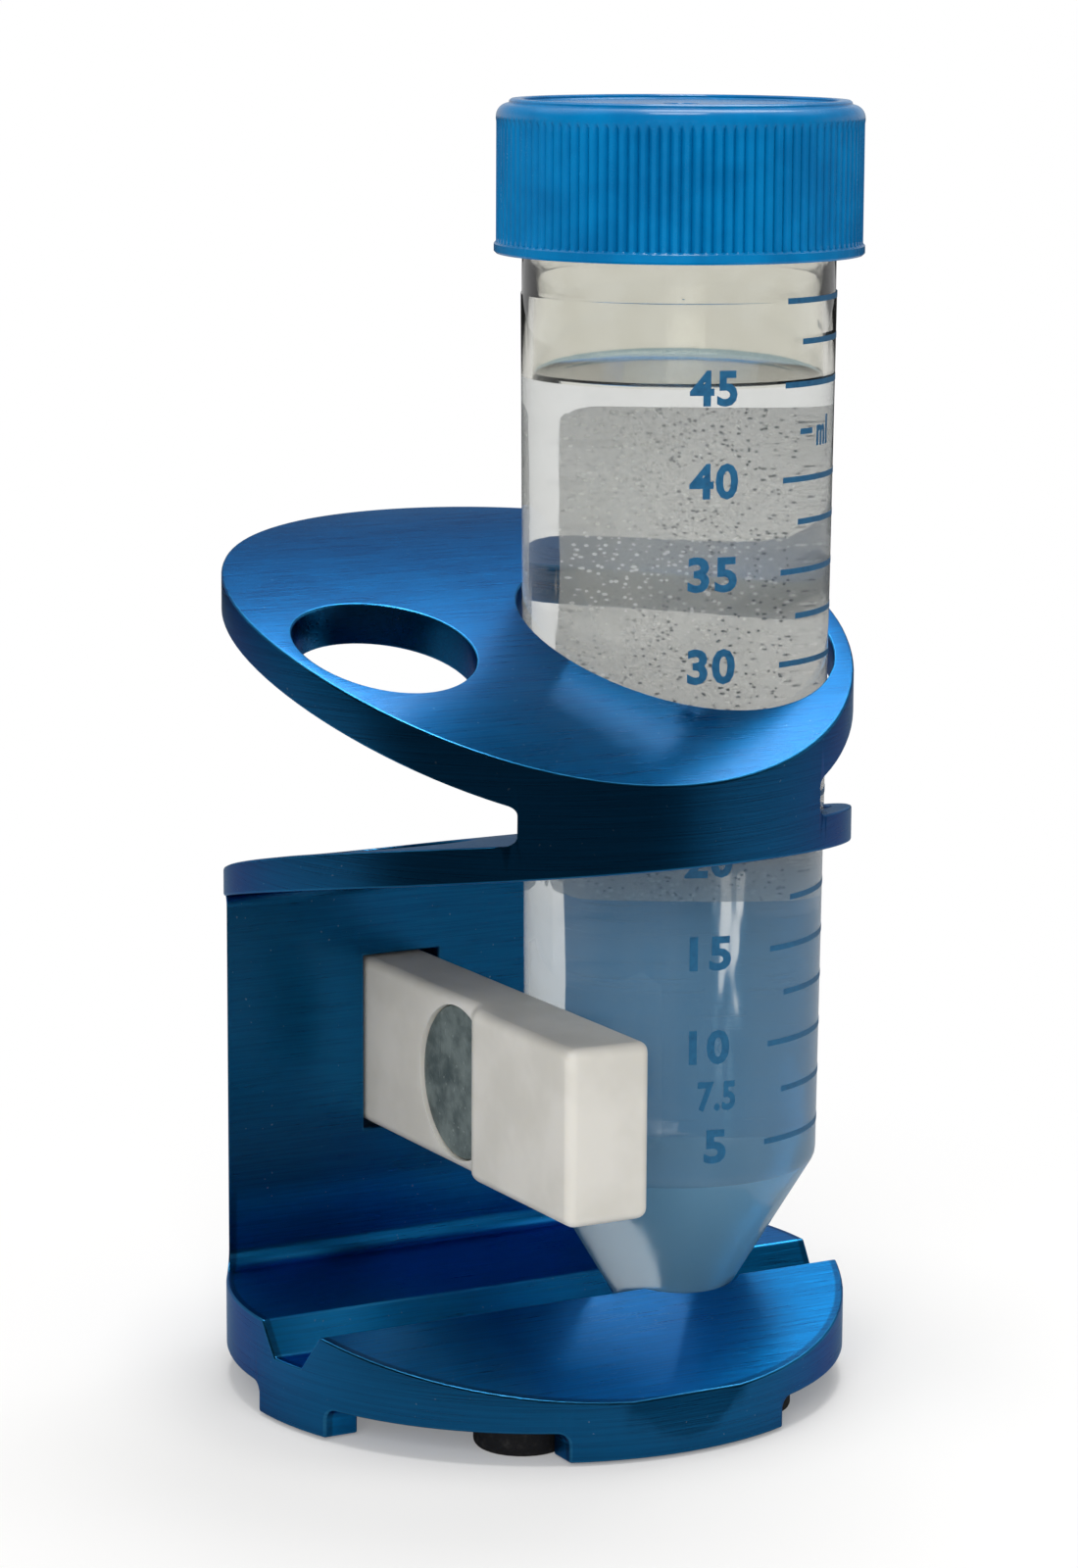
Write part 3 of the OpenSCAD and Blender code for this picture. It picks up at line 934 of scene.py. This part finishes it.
@dataclass
class MagnetBar:
    """The sliding bar of white plastic, with its recess and the pocket of the magnet."""

    recess_depth: float = 1.2
    recess_end: float = 5.6
    step_radius: float = 2.4
    step_cuts: int = 10
    edge_round: float = 1.05
    edge_steps: int = 5
    pocket_diameter: float = 15.0
    pocket_x: float = 2.7
    pocket_past: float = 0.05

    def step_depth(self, run: float) -> float:
        """Return how deep the face lies at a distance from the end of the recess.

        Args:
            run: Distance past the end of the recess, in millimetres.

        Returns:
            The depth below the plain face, in millimetres.
        """
        turn = math.acos(1 - self.recess_depth / (2 * self.step_radius))
        half = self.step_radius * math.sin(turn)
        if run <= half:
            angle = math.asin(max(0.0, run) / self.step_radius)
            return self.recess_depth - self.step_radius * (1 - math.cos(angle))
        angle = math.asin(max(0.0, 2 * half - run) / self.step_radius)
        return self.step_radius * (1 - math.cos(angle))

    def build(self) -> None:
        """Shape the bar from a block and dress it."""
        low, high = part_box("magnet_bar")
        centre, size = (low + high) / 2, high - low
        deselect()
        bpy.ops.mesh.primitive_cube_add(size=1, location=centre, scale=size)
        work = Work("acetal_bar")
        bpy.ops.object.transform_apply(location=True, rotation=True, scale=True)
        turn = math.acos(1 - self.recess_depth / (2 * self.step_radius))
        run = 2 * self.step_radius * math.sin(turn)
        places = [self.recess_end + run * i / self.step_cuts for i in range(self.step_cuts + 1)]
        for place in places:
            work.cut((place, 0, 0), (1, 0, 0))
        near = low.y

        def move_face(test: Callable[[float], bool], depth: float) -> None:
            """Push the near face in where the test on x holds."""
            work.pick(Element.VERTEX, lambda v: abs(v.co.y - near) < NEAR and test(v.co.x / MM))
            bpy.ops.transform.translate(value=(0, depth * MM, 0))

        move_face(lambda x: x < self.recess_end + 0.01, self.recess_depth)
        for place in places[1:-1]:
            depth = self.step_depth(place - self.recess_end)
            move_face(lambda x, at=place: abs(x - at) < 0.02, depth)
        work.pick(Element.EDGE, lambda edge: self.is_corner(work, edge, low, high))
        bpy.ops.mesh.bevel(
            offset=self.edge_round * MM, segments=self.edge_steps, affect="EDGES",
            clamp_overlap=True,
        )
        self.bore_pocket(work, low, high)
        work.close(35.0, weighted=True)
        work.dress(Body.BAR, Slot.MAGNET_BAR, (MilledAcetal("milled_acetal"),), ("magnet_bar",))

    def is_corner(self, work: Work, edge: bpy.types.MeshEdge, low: Vector, high: Vector) -> bool:
        """Say whether an edge is one of the long or end edges of the bar.

        Args:
            work: The bar.
            edge: The edge.
            low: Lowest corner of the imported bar.
            high: Its highest corner.

        Returns:
            True where two outer faces meet.
        """
        middle = work.middle(edge) * MM
        on_end = abs(middle.x - low.x) < NEAR or abs(middle.x - high.x) < NEAR
        on_level = abs(middle.z - low.z) < NEAR or abs(middle.z - high.z) < NEAR
        before_recess = middle.y < low.y + (self.recess_depth + 0.02) * MM
        on_side = abs(middle.y - high.y) < NEAR or before_recess
        return on_end + on_level + on_side >= 2

    def bore_pocket(self, work: Work, low: Vector, high: Vector) -> None:
        """Bore the pocket of the magnet from the far side, until it breaks out into the recess.

        Args:
            work: The bar.
            low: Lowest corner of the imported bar.
            high: Its highest corner.
        """
        start = low.y + (self.recess_depth - self.pocket_past) * MM
        depth = high.y - low.y
        deselect()
        bpy.ops.mesh.primitive_cylinder_add(
            vertices=ROUND_SIDES, radius=self.pocket_diameter / 2 * MM, depth=depth,
            location=(self.pocket_x * MM, start + depth / 2, (low.z + high.z) / 2),
            rotation=(math.pi / 2, 0, 0),
        )
        drill = bpy.context.active_object
        work.modify("BOOLEAN", operation="DIFFERENCE", solver="EXACT", object=drill)
        bpy.data.objects.remove(drill)


@dataclass
class DiscMagnet:
    """The plated disc in the pocket of the bar."""

    chamfer: float = 0.35
    end_insets: Pair = (1.6, 2.4)

    def build(self) -> None:
        """Shape the disc from a cylinder and dress it."""
        low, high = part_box("disc_magnet")
        centre, radius = (low + high) / 2, (high.x - low.x) / 2
        deselect()
        bpy.ops.mesh.primitive_cylinder_add(
            vertices=ROUND_SIDES, radius=radius, depth=high.y - low.y, location=centre,
            rotation=(math.pi / 2, 0, 0),
        )
        work = Work("plated_disc")
        bpy.ops.object.transform_apply(location=True, rotation=True)
        ends = (low.y, high.y)
        work.pick(Element.FACE, lambda face: self.at_end(face.center.y, ends))
        for inset in self.end_insets:
            bpy.ops.mesh.inset(thickness=inset * MM)
        work.pick(Element.EDGE, lambda edge: self.on_rim(work, edge, centre, ends, radius))
        bpy.ops.mesh.bevel(offset=self.chamfer * MM, segments=3, affect="EDGES")
        work.close(40.0, weighted=True)
        work.dress(Body.BAR, Slot.DISC_MAGNET, (WornMagnet("worn_plating"),), ("disc_magnet",))

    @staticmethod
    def at_end(place: float, ends: Pair) -> bool:
        """Say whether a place along Y is that of an end face."""
        return any(abs(place - end) < CLOSE for end in ends)

    def on_rim(
        self, work: Work, edge: bpy.types.MeshEdge, centre: Vector, ends: Pair, radius: float
    ) -> bool:
        """Say whether an edge lies on the rim of an end face.

        Args:
            work: The disc.
            edge: The edge.
            centre: Centre of the disc, in metres.
            ends: Places of the end faces along Y, in metres.
            radius: Radius of the disc, in metres.

        Returns:
            True on the rim.
        """
        middle = work.middle(edge) * MM
        away = math.hypot(middle.x - centre.x, middle.z - centre.z)
        return away > radius - NEAR and self.at_end(middle.y, ends)


@dataclass
class SampleTube:
    """The clear 50 ml tube: cone, body, thinner neck and thread."""

    tip_z: float = 5.4
    tip_radius: float = 4.1
    cone_height: float = 16.8
    low_radius: float = 14.1
    radius: float = 14.85
    wall: float = 1.0
    neck_z: float = 104.9
    neck_radius: float = 14.75
    rim_z: float = 120.4
    thread_out: float = 0.72
    thread_z: tuple[float, ...] = (111.4, 114.4, 117.4)
    level_z: float = 97.1
    body_z: Triple = (40.0, 58.0, 76.0)
    segments: int = 192

    @property
    def foot_z(self) -> float:
        """Return the height where the cone meets the body."""
        return self.tip_z + self.cone_height

    def outer(self, height: float) -> float:
        """Return the outer radius of the tube at a height above its cone."""
        rise = self.neck_z - self.foot_z
        return self.low_radius + (self.radius - self.low_radius) * (height - self.foot_z) / rise

    def outline(self) -> list[Pair]:
        """Return the closed outline of the wall, from the bottom outside to the bottom inside."""
        foot = self.foot_z
        slope = (self.low_radius - self.tip_radius) / self.cone_height
        outside = [
            (0, self.tip_z + 0.5), (2.2, self.tip_z + 0.45), (2.9, self.tip_z + 0.1),
            (3.3, self.tip_z), (self.tip_radius - 0.25, self.tip_z),
            (self.tip_radius, self.tip_z + 0.18),
        ]
        for drop in (12.0, 8.0, 4.0, 1.2, 0.4):
            outside.append((self.low_radius - slope * drop, foot - drop))
        outside += [(self.low_radius - 0.06, foot + 0.05), (self.outer(foot + 0.6), foot + 0.6)]
        outside += [(self.outer(z), z) for z in (*self.body_z, self.level_z, self.neck_z - 0.1)]
        outside += [(self.radius - 0.03, self.neck_z), (self.neck_radius, self.neck_z + 0.1)]
        crest = self.radius + self.thread_out
        for z in self.thread_z:
            outside += [(self.neck_radius, z - 0.6), (crest, z - 0.3), (crest, z + 0.3),
                        (self.neck_radius, z + 0.6)]
        inner = self.radius - self.wall
        outside += [(self.neck_radius, self.rim_z - 0.25), (self.neck_radius - 0.25, self.rim_z)]
        inside = [(inner + 0.2, self.rim_z), (inner, self.rim_z - 0.2), (inner, 108.0)]
        heights = (
            self.neck_z, self.level_z + 0.6, self.level_z, *reversed(self.body_z), foot + 0.9,
        )
        inside += [(self.outer(z) - self.wall, z) for z in heights]
        cone_radius = self.low_radius - self.wall - 0.17
        for drop in (0.4, 4.0, 8.0, 12.0):
            inside.append((cone_radius - slope * (drop - 0.4), foot - drop))
        floor = self.tip_z + self.wall
        inside += [(self.tip_radius - 0.2, floor + 0.75), (self.tip_radius - 0.9, floor + 0.15),
                   (2.0, floor), (0, floor)]
        return outside + inside

    def build(self) -> None:
        """Turn the wall, mark its wetted part and dress it."""
        axis = axis_of("sample_tube")
        work = turned("clear_tube", self.outline(), self.segments, axis)
        work.close(50.0)
        centre = Vector((axis[0] * MM, axis[1] * MM, 0))
        for face in work.obj.data.polygons:
            face.material_index = self.kind(face, centre)
        dry = ClearPlastic("clear_plastic")
        wetted = ClearPlastic(
            "clear_plastic_wetted", PLASTIC_IOR / WATER_IOR, 0.0, (240, 242, 244)
        )
        # The cone keeps a light haze and gets a painted reflection of the blue housing.
        frosted_and_painted = ClearPlastic(
            "frosted_plastic_painted_reflection", PLASTIC_IOR, 0.08, (224, 228, 228), (0.4, 0.4), (122, 178, 214)
        )
        # The filled wall low down gets a painted reflection of the blue housing, which fades out
        # upwards.
        filled = ClearPlastic("filled_plastic", PLASTIC_IOR, 0.02, (232, 230, 224), (0.22, 0.02))
        work.dress(Body.RACK, Slot.SAMPLE_TUBE, (dry, wetted, frosted_and_painted, filled), ("sample_tube",))

    def kind(self, face: bpy.types.MeshPolygon, centre: Vector) -> TubeFace:
        """Say which kind of face of the tube this is.

        Args:
            face: A face of the turned tube.
            centre: A point on the axis of the tube, in metres.

        Returns:
            The kind of the face.
        """
        out, height = face.center - centre, face.center.z
        inward = face.normal.x * out.x + face.normal.y * out.y < 0
        on_floor = face.normal.z > 0.5 and self.tip_z * MM + 0.9 * MM < height < 20 * MM
        below_level = height < self.level_z * MM
        if (inward or on_floor) and below_level and height > 6.0 * MM:
            return TubeFace.WETTED
        if height < (self.foot_z - 0.3) * MM and face.normal.z > -0.9:
            return TubeFace.FROSTED
        return TubeFace.FILLED if not inward and below_level else TubeFace.DRY


@dataclass
class Liquid:
    """The sample in the tube, with its meniscus."""

    tube: SampleTube = field(default_factory=SampleTube)
    gap: float = 0.02
    meniscus: tuple[Pair, ...] = (
        (0.0, 0.75), (0.12, 0.5), (0.45, 0.22), (1.1, 0.06), (2.0, 0.0), (5.0, 0.0),
    )

    def build(self) -> None:
        """Turn the liquid inside the wall of the tube and dress it."""
        tube = self.tube
        level = tube.level_z
        points = tube.outline()
        start = max(i for i, point in enumerate(points) if point[1] == level)
        sides = [
            (max(0.0, radius - self.gap), z + (self.gap if radius < tube.tip_radius else 0))
            for radius, z in reversed(points[start:])
        ]
        bore = tube.outer(level) - tube.wall - self.gap
        top = [(bore - inset, level + rise) for inset, rise in self.meniscus]
        outline = [*sides, *top, (0, level)]
        work = turned("liquid_sample", outline, tube.segments, axis_of("sample_tube"))
        work.close(60.0)
        for face in work.obj.data.polygons:
            on_top = face.normal.z > 0.6 and face.center.z > level * MM - CLOSE
            face.material_index = LiquidFace.SURFACE if on_top else LiquidFace.SIDE
        # The blue-grey of the liquid's top is painted reflection, not a colour of the water.
        surface = Sample("sample_surface_painted_reflection", WATER_IOR, (122, 160, 182))
        side = Sample("sample_side", 1.0, body=0.06)
        work.dress(Body.RACK, Slot.SAMPLE_LIQUID, (surface, side), ("sample_liquid",))


@dataclass
class TubePrint:
    """The printed scale: long and short marks, and their numbers."""

    tube: SampleTube = field(default_factory=SampleTube)
    proud: float = 0.03
    line: float = 0.54
    right_end: float = 72.0
    digit_height: float = 3.15
    digit_width: float = 2.45
    digit_space: float = 0.2
    digit_bold: float = 0.034
    digit_share: float = 0.729
    letter_space: float = 1.1
    short_shares: Pair = (0.86, 0.8)
    unit_share: float = 0.85
    bend_step: float = 0.6
    letter_step: float = 0.4
    least_proud: float = 0.004
    marks: tuple[Triple, ...] = (
        (104.97, 12.0, 72.0), (101.18, 20.3, 72.0), (97.25, 11.6, 72.0), (92.87, 20.0, 27.5),
        (88.49, 11.3, 72.0), (84.50, 19.6, 72.0), (79.93, 11.0, 72.0), (75.70, 19.3, 72.0),
        (71.30, 11.2, 72.0), (66.9, 19.5, 72.0), (62.4, 10.8, 72.0), (57.9, 19.8, 72.0),
        (53.4, 10.4, 72.0), (48.97, 20.1, 72.0), (44.34, 9.8, 72.0), (39.91, 17.5, 72.0),
        (35.19, 9.5, 72.0), (30.51, 17.2, 72.0), (25.70, 8.7, 72.0),
    )
    numbers: tuple[tuple[str, float, float], ...] = (
        ("45", 97.06, -17.0), ("40", 88.53, -16.8), ("35", 79.93, -17.0), ("30", 71.37, -17.3),
        ("25", 62.2, -17.0), ("20", 53.12, -16.8), ("15", 44.27, -17.0), ("10", 35.26, -17.2),
        ("7.5", 30.56, -12.4), ("5", 25.64, -12.8),
    )
    unit_place: Pair = (92.6, 35.5)
    patch_z: Pair = (45.2, 93.5)
    patch_azimuth: Pair = (97.6, 172.0)
    patch_corner: float = 1.6

    def wrap(self, obj: bpy.types.Object, height: float, azimuth: float) -> None:
        """Bend a flat mesh round the tube.

        Args:
            obj: A flat mesh in the X-Y plane, in millimetres, with its thickness along Z.
            height: Height of its middle.
            azimuth: Direction of its middle, in degrees.
        """
        axis = axis_of("sample_tube")
        for vertex in obj.data.vertices:
            across, along, out = vertex.co
            z = height + along
            radius = self.tube.outer(z) + max(self.least_proud, min(self.proud, out))
            angle = math.radians(azimuth) + across / self.tube.outer(z)
            x, y = axis[0] + radius * math.cos(angle), axis[1] + radius * math.sin(angle)
            vertex.co = Vector((x, y, z)) * MM

    def flat(self, name: str, width: float, height: float) -> Work:
        """Return a thin flat block in the X-Y plane, in millimetres.

        Args:
            name: The name of the piece.
            width: Its length along X.
            height: Its length along Y.

        Returns:
            The flat block.
        """
        deselect()
        bpy.ops.mesh.primitive_cube_add(size=1, location=(0, 0, self.proud / 2))
        work = Work(name)
        work.obj.scale = (width, height, self.proud)
        bpy.ops.object.transform_apply(location=True, scale=True)
        return work

    def strip(self, width: float, height: float) -> Work:
        """Return a flat block that is cut often enough to bend, in millimetres.

        Args:
            width: Its length along X.
            height: Its length along Y.

        Returns:
            The strip.
        """
        work = self.flat("strip", width, height)
        cuts = max(2, round(width / self.bend_step))
        work.slice_at([width * (i / cuts - 0.5) for i in range(1, cuts)])
        deselect()
        return work

    def letters(self, text: str, height: float, width: float) -> Work:
        """Return flat characters in the X-Y plane, centred, cut to bend, in millimetres.

        Args:
            text: A number or a unit.
            height: Height of a digit.
            width: Width of the whole text.

        Returns:
            The flat mesh.
        """
        deselect()
        bpy.ops.object.text_add(location=(0, 0, 0))
        item = bpy.context.active_object
        item.data.body = text
        item.data.align_x = "CENTER"
        item.data.align_y = "CENTER"
        item.data.size = height / self.digit_share
        item.data.offset = self.digit_bold * item.data.size
        item.data.extrude = self.proud / 2
        item.data.space_character = self.letter_space
        item.data.resolution_u = 3
        bpy.ops.object.convert(target="MESH")
        work = Work("letters")
        work.edit()
        bpy.ops.mesh.select_all(action="SELECT")
        bpy.ops.mesh.remove_doubles(threshold=1e-4)
        bpy.ops.mesh.dissolve_degenerate(threshold=1e-3)
        bpy.ops.object.mode_set(mode="OBJECT")
        half = max(abs(v.co.x) for v in work.obj.data.vertices)
        work.edit()
        bpy.ops.mesh.select_all(action="SELECT")
        bpy.ops.transform.resize(value=(width / (2 * half), 1, 1), center_override=(0, 0, 0))
        half = width / 2 + 0.1
        steps = round(2 * half / self.letter_step)
        work.slice_at([half * (2 * i / steps - 1) for i in range(1, steps)])
        bpy.ops.mesh.select_all(action="SELECT")
        bpy.ops.mesh.dissolve_degenerate(threshold=1e-3)
        bpy.ops.transform.translate(value=(0, 0, self.proud / 2))
        deselect()
        return work

    def build(self) -> None:
        """Print the scale and the writing patch on the tube."""
        made: list[bpy.types.Object] = []
        for z, start, end in self.marks:
            width = math.radians(end - start) * self.tube.outer(z)
            work = self.strip(width, self.line)
            self.wrap(work.obj, z, (start + end) / 2)
            made.append(work.obj)
        for text, z, azimuth in self.numbers:
            tall, wide = self.short_shares if "." in text else (1.0, 1.0)
            width = self.digit_width * len(text.replace(".", "")) - self.digit_space
            work = self.letters(text, self.digit_height * tall, width * wide)
            self.wrap(work.obj, z, azimuth)
            made.append(work.obj)
        work = self.letters("ml", self.digit_height * self.unit_share, self.digit_width)
        self.wrap(work.obj, *self.unit_place)
        made.append(work.obj)
        deselect()
        for obj in made:
            obj.select_set(True)
        bpy.context.view_layer.objects.active = made[0]
        bpy.ops.object.join()
        scale = Work("printed_scale")
        scale.close(40.0)
        scale.dress(Body.RACK, Slot.SAMPLE_TUBE, (PrintInk("scale_ink"),))
        self.build_patch()

    def build_patch(self) -> None:
        """Print the white writing patch on the far side of the tube."""
        z0, z1 = self.patch_z
        a0, a1 = self.patch_azimuth
        middle = (z0 + z1) / 2
        width = math.radians(a1 - a0) * self.tube.outer(middle)
        height = z1 - z0
        work = self.flat("writing_patch", width, height)
        work.pick(Element.EDGE, lambda edge: abs(work.middle(edge).x * MM) > width / 2 - 0.01
                  and abs(work.middle(edge).y * MM) > height / 2 - 0.01)
        bpy.ops.mesh.bevel(offset=self.patch_corner, segments=6, affect="EDGES")
        cuts = round(width / self.bend_step)
        work.slice_at([width * (i / cuts - 0.5) for i in range(1, cuts)])
        deselect()
        self.wrap(work.obj, middle, (a0 + a1) / 2)
        work.close(40.0)
        work.dress(Body.RACK, Slot.SAMPLE_TUBE, (WritingPatch("writing_patch"),))


@dataclass
class ScrewCap:
    """The ribbed cap: plain lip, ribs, smooth shoulder, raised rim and dimple."""

    bottom: float = 108.6
    top: float = 122.5
    radius: float = 17.25
    lip_radius: float = 17.4
    lip_height: float = 1.0
    rib_top: float = 121.1
    rib_back: float = 0.05
    shoulder: float = 1.25
    rim_height: float = 0.4
    rim_width: float = 1.2
    bore: float = 15.65
    thickness: float = 2.0
    dimple_radius: float = 1.65
    dimple_depth: float = 0.25
    ribs: int = 108
    across: tuple[float, ...] = (-0.42, -0.14, 0.0, 0.0, 0.0, -0.14)

    def outline(self) -> list[Pair]:
        """Return the outline, from the middle of the top outside to its middle inside."""
        lip_top = self.bottom + self.lip_height
        inner_rim = self.radius - self.shoulder - self.rim_width
        outer_rim = self.radius - self.shoulder
        high = self.top + self.rim_height
        shoulder = arc((outer_rim, self.top - self.shoulder), self.shoulder, 84, 0, 8)
        dimple, groove = self.top - self.dimple_depth, self.radius - self.rib_back
        ceiling = self.top - self.thickness
        return [
            (0, dimple), (self.dimple_radius - 0.25, dimple), (self.dimple_radius, self.top),
            (inner_rim - 0.15, self.top), (inner_rim, self.top + 0.12),
            (inner_rim, high - 0.12), (inner_rim + 0.12, high), (outer_rim - 0.2, high),
            (outer_rim, high - 0.15), (outer_rim + 0.04, self.top + 0.06),
            *shoulder[:-1],
            (self.radius, self.rib_top), (groove, self.rib_top - 0.35),
            (groove, self.rib_top - 0.9), (groove, lip_top + 0.5), (groove, lip_top + 0.12),
            (self.lip_radius - 0.12, lip_top), (self.lip_radius, lip_top - 0.12),
            (self.lip_radius, self.bottom + 0.2), (self.lip_radius - 0.2, self.bottom),
            (self.bore + 0.35, self.bottom), (self.bore, self.bottom + 0.35),
            (self.bore, ceiling - 0.3), (self.bore - 0.3, ceiling), (0, ceiling),
        ]

    def build(self) -> None:
        """Turn the cap, press its ribs and dress it."""
        axis = axis_of("screw_cap")
        count = self.ribs * len(self.across)
        work = turned("ribbed_cap", self.outline(), count, axis)
        centre = (axis[0] * MM, axis[1] * MM, 0)
        face = (self.radius - self.rib_back) * MM
        low, high = (self.bottom + self.lip_height + 0.1) * MM, (self.rib_top - 0.3) * MM

        def column(vertex: bpy.types.MeshVertex) -> int:
            """Return the number of the vertex within its rib, or -1 off the ribs."""
            out = vertex.co - Vector(centre)
            if not low < vertex.co.z < high or abs(math.hypot(out.x, out.y) - face) > NEAR:
                return -1
            turn = math.atan2(out.y, out.x) % math.tau
            return round(turn / math.tau * count) % len(self.across)

        work.edit()
        bpy.ops.object.mode_set(mode="OBJECT")
        columns = [column(vertex) for vertex in work.obj.data.vertices]
        for number, offset in enumerate(self.across):
            if offset == 0.0:
                continue
            work.pick(Element.VERTEX, lambda vertex, n=number: columns[vertex.index] == n)
            share = (face + offset * MM) / face
            bpy.ops.transform.resize(value=(share, share, 1), center_override=centre)
        work.close(38.0)
        work.dress(Body.CAP, Slot.SCREW_CAP, (MouldedCap("moulded_blue"),), ("screw_cap",))


# ---------------------------------------------------------------- the studio


@dataclass
class Studio:
    """The bench, the white surroundings, the soft lamps and the camera."""

    key_power: float = 3.6
    fill_power: float = 5.5
    top_power: float = 4.0
    ambient: float = 0.4
    horizon: float = 0.6
    dip: float = 0.26
    ceiling: float = 1.4
    front: float = 0.05
    azimuth: float = 28.701
    away: float = 431.106
    height: float = 135.993
    yaw: float = 0.021
    down: float = 10.246
    roll: float = 0.301
    focal_pixels: float = 4676.68
    frame_pixels: int = 1600
    sensor: float = 36.0
    clip: Pair = (0.01, 20.0)

    def bench(self) -> None:
        """Lay the plain white bench."""
        deselect()
        bpy.ops.mesh.primitive_plane_add(size=8.0, location=(0, 0, 0))
        floor = Work("bench")
        floor.obj.data.materials.append(Bench("white_bench").material())

    def world(self) -> None:
        """Surround the scene.

        It is white to the eye and through glass, even for matt surfaces, and a soft room for metal.
        """
        world = bpy.data.worlds.new("studio")
        world.use_nodes = True
        world.cycles.sampling_method = "NONE"
        bpy.context.scene.world = world
        graph = Graph(world.node_tree)
        direction = graph.node("ShaderNodeTexCoord", output="Generated")
        east, north, up = graph.axes(direction)
        clear = graph.ray("Camera").larger(graph.ray("Transmission"))
        matt = graph.ray("Diffuse")
        back = north * BACK[1] + east * BACK[0]
        horizon = graph.span(up, 0.12, 0.42, self.horizon, self.dip)
        above = graph.span(up, 0.5, 0.8, 0.0, self.ceiling)
        room = graph.span(back, -0.25, 0.45, self.front, 1.0) * (horizon + above)
        level = room * (1.0 - matt) + matt * self.ambient
        level = level * (1.0 - clear) + clear
        shader = graph.node("ShaderNodeBackground", inputs={"Color": WHITE, "Strength": level})
        graph.finish(shader, "ShaderNodeOutputWorld")

    def lamp(
        self, name: str, place: Triple, aim: Triple, size: float, power: float, colour: Triple
    ) -> None:
        """Hang one square soft lamp.

        Args:
            name: The name of the lamp.
            place: Where it hangs, in metres.
            aim: Where it points, in metres.
            size: Its side, in metres.
            power: Its power, in watts.
            colour: Its linear colour.
        """
        deselect()
        bpy.ops.object.light_add(type="AREA", location=place)
        made = bpy.context.active_object
        made.name = name
        made.data.size = size
        made.data.energy = power
        made.data.color = colour
        made.rotation_euler = (Vector(aim) - Vector(place)).to_track_quat("-Z", "Y").to_euler()

    def lamps(self) -> None:
        """Hang the soft lamps: one high behind, one overhead and one at the front.

        The one at the front lights matt surfaces only.
        """
        self.lamp(
            "key", (-0.32, 0.33, 0.93), (0, 0, 0.05), 0.46, self.key_power, (1.0, 0.985, 0.96)
        )
        self.lamp("top", (0.06, -0.04, 1.05), (0, 0, 0.1), 0.3, self.top_power, (1.0, 0.99, 0.98))
        self.lamp(
            "fill", (0.77, -0.56, 0.42), (0, 0, 0.05), 0.6, self.fill_power, (1.0, 0.99, 0.97)
        )
        bpy.context.active_object.visible_glossy = False

    def camera(self) -> None:
        """Set up the camera."""
        turn, yaw, down, roll = (
            math.radians(angle) for angle in (self.azimuth, self.yaw, self.down, self.roll)
        )
        ahead = Vector((-math.cos(turn), math.sin(turn), 0))
        right = Vector((math.sin(turn), math.cos(turn), 0))
        ahead, right = (ahead * math.cos(yaw) + right * math.sin(yaw),
                        right * math.cos(yaw) - ahead * math.sin(yaw))
        view = ahead * math.cos(down) - Vector((0, 0, math.sin(down)))
        upright = ahead * math.sin(down) + Vector((0, 0, math.cos(down)))
        right, upright = (right * math.cos(roll) + upright * math.sin(roll),
                          upright * math.cos(roll) - right * math.sin(roll))
        data = bpy.data.cameras.new("camera")
        data.sensor_fit = "VERTICAL"
        data.sensor_height = self.sensor
        data.lens = self.focal_pixels * self.sensor / self.frame_pixels
        data.clip_start, data.clip_end = self.clip
        made = bpy.data.objects.new("camera", data)
        bpy.context.scene.collection.objects.link(made)
        place = Vector((self.away * math.cos(turn), -self.away * math.sin(turn), self.height)) * MM
        rows = Matrix((right, upright, -view)).transposed()
        made.matrix_world = Matrix.Translation(place) @ rows.to_4x4()
        bpy.context.scene.camera = made

    def build(self) -> None:
        """Build the studio."""
        bpy.context.scene.view_settings.view_transform = "Standard"
        self.bench()
        self.world()
        self.lamps()
        self.camera()
        LOG.info("studio: bench, surroundings, lamps and camera")


def main() -> None:
    """Build the pieces in order, then the studio."""
    logging.basicConfig(level=logging.INFO, format="%(levelname)s %(name)s %(message)s")
    tube = SampleTube()
    parts = (
        Housing(), Feet(), MagnetBar(), DiscMagnet(), tube, Liquid(tube), TubePrint(tube),
        ScrewCap(), Studio(),
    )
    for part in parts:
        part.build()
    deselect()


if __name__ == "__main__":
    main()
